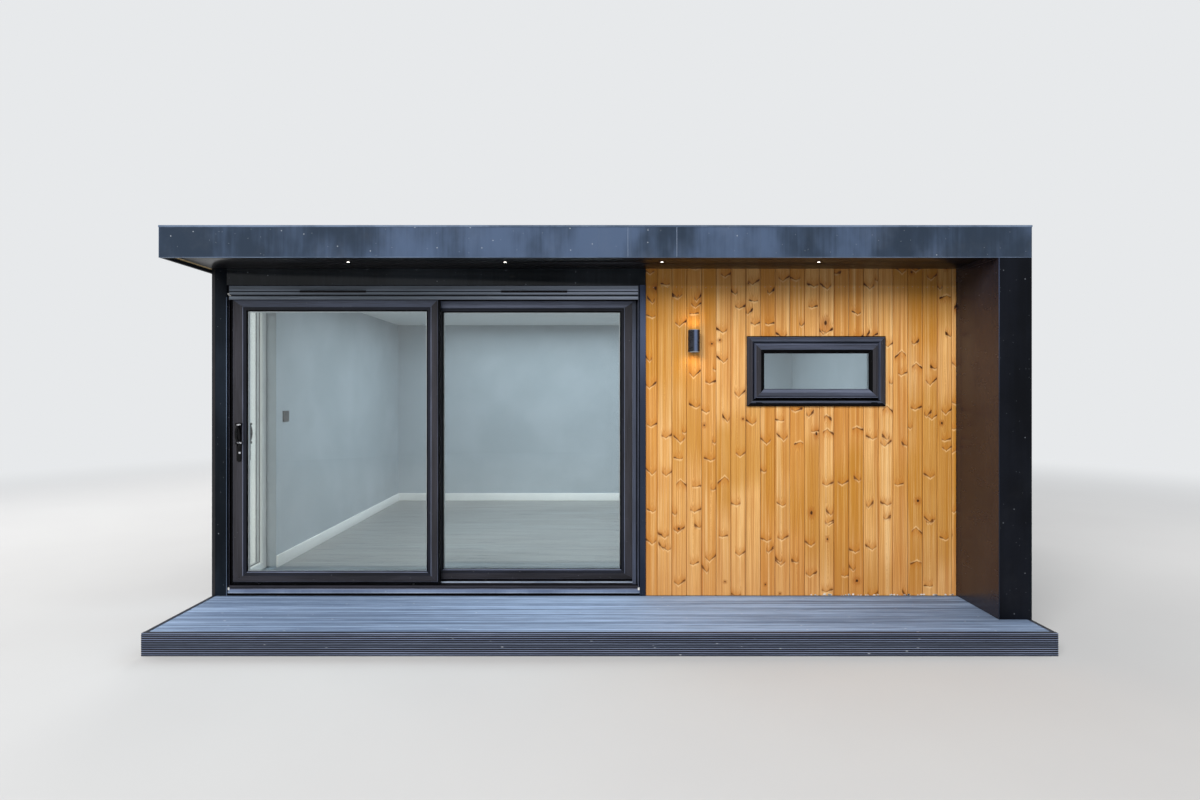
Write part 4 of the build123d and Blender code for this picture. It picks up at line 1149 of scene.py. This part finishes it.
def door_frame():
    """Head with its mouldings, vents, grooved jambs, and the threshold with its nose and rail."""
    x, (face, back), z = limits("door_head")
    jamb_x, _, jamb_z = limits("door_jambs")
    sill_x, _, sill_z = limits("door_threshold")
    _, sliding_y, sliding_z = limits("sliding_sash")
    _, (fixed_front, rear), _ = limits("fixed_sash")
    near, far = sliding_y[1] + RUNNING_GAP, fixed_front - RUNNING_GAP
    roof = sliding_z[1] + SASH_TOP_GAP
    lip_back = face + TRACK_LIP

    head = Mould()
    outline = [(face + depth, z[1] - drop) for depth, drop, _ in HEAD_STEPS]
    outline += [(face, z[0] + 0.001), (face + 0.001, z[0]), (lip_back, z[0]), (lip_back, roof),
                (near, roof), (near, z[0]), (far, z[0]), (far, roof), (rear, roof), (rear, z[0]),
                (back, z[0]), (back, z[1])]
    coats = [coat for _, _, coat in HEAD_STEPS] + [2] * 10 + [1, 2]
    head.prism(outline, 0, x, shift=(0, 2.2, 0), sides=coats)
    head.piece("door_head_mouldings", HEAD_FINISHES, ["door_head"], 0.0004, 1)

    vents = Mould()
    slots = Mould()
    for vent_x, (front, rest), (foot, top) in split_solids("trickle_vents"):
        low, high = middle_of((foot, top)) + VENT_LOW, middle_of((foot, top)) + VENT_HIGH
        floor = front + VENT_DEPTH
        outline = [(rest, foot), (front + 0.003, foot), (front, foot + 0.0025), (front, low - 0.0005),
                   (floor, low), (floor, high), (front, high + 0.0005),
                   (front, top - 0.0030), (front + 0.0045, top), (rest, top)]
        # The vent's face above the slot is in the pale foil: a painted highlight.
        vents.prism(outline, 0, vent_x, sides="0000001110")
        slots.block((vent_x[0] + 0.002, vent_x[1] - 0.002), (front + 0.0030, front + 0.0054),
                    (low + 0.0001, high - 0.0001))
    vents.piece("slotted_vents", ["foil_dark", "foil_pale"], ["trickle_vents"], 0.0005, 1)
    slots.piece("vent_slots", ["rubber"])

    jambs = Mould()
    # The jambs' faces carry painted shade and painted highlights: the left jamb's ridge in shade where the
    # right one's is lit.
    for edge, side, front_coats in ((jamb_x[0], 1, "226632"), (jamb_x[1], -1, "223332")):
        front = [(0.0, face + 0.0042), (0.0072, face + 0.0042), (0.0076, face + 0.0004), (0.0080, face),
                 (JAMB_WEB - 0.0006, face), (JAMB_WEB, face + 0.001)]
        fins = [(JAMB_WEB, near), (JAMB_WEB + 0.003, near), (JAMB_WEB + 0.0035, near + 0.005),
                (JAMB_WEB + 0.0105, near + 0.005), (JAMB_WEB + 0.011, near), (JAMB_FACE - 0.010, near),
                (JAMB_FACE - 0.009, near - 0.0012), (JAMB_FACE - 0.001, near - 0.0012), (JAMB_FACE, near),
                (JAMB_FACE, far), (JAMB_WEB, far), (JAMB_WEB, rear), (JAMB_FACE, rear)]
        low_room = [(JAMB_FACE, back), (0.0, back)]
        high_room = [(JAMB_WEB, back), (0.0, back)]
        for points, span, coats in (
            (front + fins + low_room, (jamb_z[0], z[0]), front_coats + "502053530020212"),
            (front + high_room, (z[0] + 0.0004, jamb_z[1]), front_coats + "12"),
        ):
            outline = [(edge + side * across, depth) for across, depth in points]
            jambs.prism(outline, 2, span, shift=(0, side * 1.7, 0), sides=coats)
    jambs.piece("door_jamb_profiles", FRAME_FINISHES, ["door_jambs"], 0.0004, 1)

    foot = sill_z[0]
    floor = foot + SILL_HEIGHT
    strip = foot + 0.0015
    deck_back = limits("deck_boards")[1][1] + 0.0003
    sill = Mould()
    outline = [(face + depth, foot + rise) for depth, rise, _ in NOSE_STEPS]
    outline += [(back, floor), (back, foot), (deck_back, foot), (deck_back, strip), (face + 0.008, strip)]
    sill.prism(outline, 0, sill_x, sides=[coat for _, _, coat in NOSE_STEPS] + [4] * 5)
    inner_x = (sill_x[0] + JAMB_WEB, sill_x[1] - JAMB_WEB)
    seat_x = (sill_x[0] + JAMB_FACE, sill_x[1] - JAMB_FACE)
    lip_top = floor + SILL_LIP
    lip = [(face + 0.0008, floor), (face + 0.0008, lip_top - 0.003), (face + 0.0025, lip_top),
           (lip_back, lip_top), (lip_back, floor)]
    sill.prism(lip, 0, inner_x, 1, sides="14411")
    middle = middle_of(sliding_y)
    sill.block(inner_x, (middle - RAIL_WIDTH / 2, middle + RAIL_WIDTH / 2), (floor, floor + RAIL_HEIGHT), 4)
    sill.block(seat_x, (near, back), (floor, sill_z[1]), 1)
    # Bright strip along the seat's front edge, in the pale edge coat: a painted highlight.
    sill.block(seat_x, (near - 0.0012, near + 0.003), (sill_z[1] - 0.0085, sill_z[1] + 0.0006), 3)
    sill.piece("threshold_profiles", SILL_FINISHES, ["door_threshold"], 0.0005, 1)
    caps = Mould()
    for cap_x in ((sill_x[0], sill_x[0] + END_CAP), (sill_x[1] - END_CAP, sill_x[1])):
        caps.block(cap_x, (face - 0.0016, face + 0.010), (floor - 0.016, floor + 0.002))
    caps.piece("sill_end_caps", ["residue"], bevel=0.0015)
    # Black rubber strip in the gap under the nose, which also stands in for the shade there.
    seal = Mould()
    seal.block(sill_x, (face + 0.0015, face + 0.0078), (foot + 0.0003, foot + 0.0112))
    seal.piece("sill_shade_seal", ["rubber"], bevel=0.001, segments=1)


def roof_fronts():
    """Front fascia with hemmed edges and its film joints, and the wing wall with its corner bead."""
    x, y, z = limits("fascia_front")
    sheet = Mould()
    sheet.block(x, y, z)
    sheet.piece("front_fascia_sheet", ["fascia"], ["fascia_front"], 0.0012)
    hems = Mould()
    hem_y = (y[0] - HEM_RISE, y[0] + HEM_BED)
    joint_y = (y[0] - JOINT_RISE, y[0] + JOINT_BED)
    hem_top = z[0] + FASCIA_HEM
    # Hems in the paler cap coat: partly their own tone, partly a painted highlight on the sheet's edges.
    hems.block(x, hem_y, (z[0], hem_top), 1)
    hems.block((x[0], x[0] + FASCIA_HEM), hem_y, (hem_top, z[1] - 0.012), 1, 2)
    # Film joints in the paler coats; the pale ones are painted highlights on the joints' edges.
    for place, width, pale in FASCIA_JOINTS:
        joint_x = (place - width / 2, place + width / 2)
        hems.block(joint_x, joint_y, (hem_top, z[1] - 0.010), 0 if pale else 1, 2)
    wing_x, wing_y, wing_z = limits("wing_wall")
    # Corner bead in the paler strip coat: a painted highlight on the wing's edge.
    hems.block((wing_x[0] - BEAD_RISE, wing_x[0] + 0.0022), (wing_y[0] - BEAD_RISE, wing_y[0] + BEAD_BED),
               (wing_z[0], z[0]), 2, 2)
    post_x, post_y, post_z = limits("corner_post")
    # Bead in the paler cap coat: a painted highlight on the post's edge.
    hems.block((post_x[1] - 0.0030, post_x[1] + 0.0004), (post_y[0] - BEAD_RISE, post_y[0] + BEAD_BED),
               (post_z[0], post_z[1] - 0.20), 1, 2)
    hems.piece("fascia_hems", ["edge", "lit_cap", "strip"], bevel=0.0005, segments=1)
    wing = Mould()
    for right, front, span in (
        (wing_x[1], wing_y[0], (wing_z[0], z[0] - FASCIA_GAP)),
        (x[1] - WING_TONGUE, y[1], (z[0], wing_z[1])),
    ):
        outline = [(wing_x[0], front), (right, front), (right, wing_y[1]), (wing_x[0], wing_y[1])]
        # The inner face takes the paler, warmer coat: painted light bounced from the boards.
        wing.prism(outline, 2, span, sides="0001")
    wing.piece("wing_panels", ["wing", "wing_inner_bounce_lit"], ["wing_wall"], 0.0015)


def residue():
    """White residue along the foot of the boards, and smears of sealant at the door frame."""
    mould = Mould()
    x, y, z = limits("front_cladding")
    spots = []
    for _ in range(RESIDUE_COUNT):
        size = rng.uniform(*RESIDUE_SIZES)
        across = rng.uniform(x[0] + (x[1] - x[0]) * RESIDUE_START, x[1] - RESIDUE_END)
        spots.append((across, y[0], z[0] + size, size))
    jamb_x, jamb_y, _ = limits("door_jambs")
    for across, height, size in SMEARS:
        spots.append((jamb_x[0] + across, jamb_y[0] - 0.001, height, size))
    for spot_x, spot_y, spot_z, size in spots:
        outline = []
        for i in range(RESIDUE_CORNERS):
            angle = 2 * math.pi * i / RESIDUE_CORNERS
            radius = size * rng.uniform(0.6, 1.2)
            height = max(spot_z + radius * math.sin(angle), RESIDUE_FOOT)
            outline.append((spot_x + radius * RESIDUE_STRETCH * math.cos(angle), height))
        mould.prism(outline, 1, (spot_y - RESIDUE_RISE, spot_y + RESIDUE_BED))
    mould.piece("white_residue", ["residue"])


def side_panels():
    """Coated panels on both sides and the back, with open joints over a dark ground."""
    window = limits("side_window_frame")[1:]
    mould = Mould()
    for x, y, z in split_solids("side_cladding"):
        at_back = x[1] - x[0] > 1.0
        at_left = not at_back and x[0] < 0
        run, across = (x, y) if at_back else (y, x)
        inner, outer = across[::-1] if at_left else across
        skin = outer + PANEL_SKIN if at_left else outer - PANEL_SKIN
        first = [run[0]] + [edge for edge in window[0] if at_left and edge > run[0]]
        edges = stepped(first, run[1], PANEL_LENGTH)
        for a, b in zip(edges, edges[1:]):
            gap = (a + PANEL_JOINT / 2 if a > run[0] else a, b - PANEL_JOINT / 2 if b < run[1] else b)
            for height in beside(window if at_left else None, z, a, b):
                for span, depth, finish in (((a, b), (inner, skin), 1), (gap, (skin, outer), 0)):
                    depth = sorted(depth)
                    sides = (span, depth) if at_back else (depth, span)
                    mould.block(*sides, height, finish, 2)
    mould.piece("side_and_back_panels", ["panel", "soffit"], ["side_cladding"], 0.0012, 1)


def roof_seams():
    """Lapped seams of the roof sheet, running down its fall."""
    verts = frame["nodes"]["roof_membrane"].data.vertices
    x, y, _ = limits("roof_membrane")
    near, far = [max(v.co.z for v in verts if abs(v.co.y - edge) < 0.002) for edge in y]
    near += (far - near) / (y[1] - y[0]) * SEAM_START
    front = y[0] + SEAM_START
    outline = [(front, near - 0.001), (y[1], far - 0.001), (y[1], far + SEAM_RISE),
               (front, near + SEAM_RISE)]
    mould = Mould()
    for share in SEAM_SHARES:
        middle = x[0] + (x[1] - x[0]) * share
        mould.prism(outline, 0, (middle - SEAM_LAP / 2, middle + SEAM_LAP / 2), along=1)
    mould.piece("roof_seams", ["membrane"], bevel=0.001, segments=1)


def laminate_planks():
    """Planks along the room, staggered, with eased edges."""
    x, y, z = limits("laminate_floor")
    mould = Mould()
    row = 0
    low = y[0]
    while low < y[1] - 0.001:
        high = min(low + PLANK_WIDTH, y[1])
        left = x[0] - PLANK_LENGTH * ((row * PLANK_STAGGER) % 1.0)
        while left < x[1]:
            a, b = max(left, x[0]), min(left + PLANK_LENGTH, x[1])
            if b - a > 0.002:
                number = rng.randrange(1000)
                shift = (number * 0.7, 0.0, number)
                mould.block((a, b - PLANK_GAP), (low, high - PLANK_GAP), z, shift=shift)
            left += PLANK_LENGTH
        low = high
        row += 1
    mould.piece("laminate_planks", ["laminate"], ["laminate_floor"], 0.0006, 1)


def downlights():
    """Lenses and rings of the lights in the soffit."""
    lenses = Mould()
    rings = Mould()
    for x, y, z in split_solids("downlights"):
        centre = (middle_of(x), middle_of(y), z[0])
        radius = (x[1] - x[0]) / 2
        rings.lathe([(radius * 0.38, 0.004), (radius * 0.42, 0.0008), (radius * 0.9, 0.0), (radius, 0.0012),
                     (radius, 0.0019), (radius * 0.9, 0.004)], centre, 2)
        lenses.lathe([(radius * 0.40, 0.0030), (radius * 0.3, 0.0008), (radius * 0.1, 0.0002)], centre, 2)
    rings.piece("downlight_rings", ["soffit"], ["downlights"])
    lenses.piece("downlight_lenses", ["led"])


def wall_light():
    """Lenses and rims at the wall light's ends, and the warm light that they throw on the boards."""
    x, y, z = limits("wall_light")
    radius = (x[1] - x[0]) / 2
    lens = Mould()
    ring = Mould()
    for end, inward in zip(z, (1, -1)):
        at = (middle_of(x), y[0] + radius, end)
        lens.lathe([(radius - 0.0035, inward * 0.013), (radius - 0.0035, inward * 0.011),
                    (radius * 0.5, inward * 0.009), (radius * 0.1, inward * 0.0085)], at, 2)
        ring.lathe([(radius - 0.0032, inward * 0.012), (radius - 0.0032, inward * 0.0002),
                    (radius - 0.0010, 0.0), (radius + 0.0002, inward * 0.0008), (radius, inward * 0.0045)],
                   at, 2, 40)
    lens.piece("wall_light_lenses", ["glow"])
    ring.piece("wall_light_rims", ["steel"])
    for name, end, step, power in GLOW_LAMPS:
        place = Vector((middle_of(x), y[0] + radius, z[end] + step))
        hidden_lamp(name, "SPOT", place, place - Vector((0, 0, step)), power, GLOW_COLOR,
                    spot_size=math.radians(GLOW_ANGLE), spot_blend=0.8, shadow_soft_size=0.02)


def dress_nodes():
    """Softened or recoated versions of every other node."""
    for node, finish, bevel, along in (
        ("fascia_sides", "panel", 0.0015, 1), ("fascia_back", "panel", 0.0015, 0),
        # The roof edge trim's paler coat is partly a painted highlight on its edge.
        ("roof_edge_trim", "lit_cap", 0.0008, 0), ("corner_post", "post", 0.0015, 2),
        ("door_head_panel", "gloss", 0.001, 0), ("door_cover_strip", "strip", 0.0012, 2),
        ("soffit", "soffit", 0.0008, 0), ("eaves_strips", "planed", 0.001, 1),
        ("base_frame", "sawn", 0.002, 0), ("floor_panel", "sawn", 0.001, 0),
        ("roof_panel", "boarding", 0.001, 0), ("skirting", "trim", 0.002, 0),
        ("light_switch", "fitting", 0.0008, 2), ("roof_membrane", "membrane", 0.001, 0),
    ):
        softened(node, finish, bevel, along)
    for node, finish in (
        ("left_wall", "wall"), ("right_wall", "wall"), ("back_wall", "wall"), ("front_wall", "wall"),
        ("door_lintel", "wall"), ("ceiling", "ceiling"), ("wall_light", "lamp"),
        ("sash_rollers", "steel"), ("rear_gutter", "fitting"),
    ):
        recoat(node, finish)


def door_handles():
    """The handles' own shapes, the inner one carried to the stile's edge, where its grip shows."""
    made = softened("door_handles", "handle", 0.0015, 2)
    middle = middle_of(limits("sliding_sash")[1])
    for vert in made.data.vertices:
        if vert.co.y > middle:
            vert.co.x += HANDLE_SHIFT


def hidden_lamp(name, kind, place, aim, power, color, **settings):
    """Lamp that lights the pod and isn't seen itself."""
    data = bpy.data.lights.new(name, kind)
    data.energy = power
    data.color = color
    for key, value in settings.items():
        setattr(data, key, value)
    lamp = bpy.data.objects.new(name, data)
    lamp.location = place
    lamp.rotation_euler = (Vector(aim) - Vector(place)).to_track_quat("-Z", "Y").to_euler()
    lamp.visible_camera = False
    lamp.visible_glossy = False
    lamp.visible_transmission = False
    bpy.context.scene.collection.objects.link(lamp)


def stage_and_light():
    """Pale floor that fades into the background, an even pale world and soft lamps."""
    bpy.ops.mesh.primitive_plane_add(size=2 * FLOOR_HALF, location=(0, 0, -FLOOR_DROP))
    floor = bpy.context.active_object
    floor.name = "studio_floor"
    g = Graph("studio_floor_paint")
    at = g.place()
    x, y, _ = g.split(at)
    pale = g.mix(g.noise(at, 0.8), *FLOOR_TONES)
    ground = g.add("BsdfDiffuse", {"Color": g.mix(g.ray("Diffuse"), pale, FLOOR_BOUNCE)})
    sky = g.add("Emission", {"Color": BACKDROP, "Strength": 1.0})
    away = (x * x + y * y).math("SQRT").step(FADE_NEAR, FADE_FAR)
    floor.data.materials.append(g.finish(g.add("MixShader", {0: away, 1: ground, 2: sky})))

    g = Graph("studio_world", bpy.data.worlds)
    seen = g.ray("Camera").math("MAXIMUM", g.ray("Glossy")).math("MAXIMUM", g.ray("Transmission"))
    fill = g.add("Background", {"Color": WORLD_FILL, "Strength": 0.30})
    shown = g.add("Background", {"Color": BACKDROP, "Strength": 1.0})
    both = g.add("MixShader", {0: seen, 1: fill, 2: shown})
    bpy.context.scene.world = g.finish(both, "World")

    for name, place, aim, width, height, power, color in AREA_LAMPS:
        hidden_lamp(name, "AREA", place, aim, power, color, shape="RECTANGLE", size=width, size_y=height)


def camera():
    """The photo's camera, level, with its frame shifted off the vanishing point."""
    data = bpy.data.cameras.new("front_camera")
    data.sensor_fit = "HORIZONTAL"
    data.sensor_width = SENSOR_WIDTH
    data.lens = FOCAL_PIXELS / PHOTO_WIDTH * SENSOR_WIDTH
    data.shift_x = (PHOTO_MIDDLE[0] - VANISH[0]) / PHOTO_WIDTH
    data.shift_y = (VANISH[1] - PHOTO_MIDDLE[1]) / PHOTO_WIDTH
    data.clip_end = 200.0
    made = bpy.data.objects.new("front_camera", data)
    made.location = CAMERA_PLACE
    made.rotation_euler = (math.pi / 2, 0, 0)
    bpy.context.scene.collection.objects.link(made)
    bpy.context.scene.camera = made


bpy.context.scene.view_settings.view_transform = "Standard"
camera()
stage_and_light()
make_finishes()
front_boards()
deck()
door_frame()
door_sashes()
door_handles()
windows()
roof_fronts()
residue()
side_panels()
roof_seams()
laminate_planks()
downlights()
wall_light()
dress_nodes()
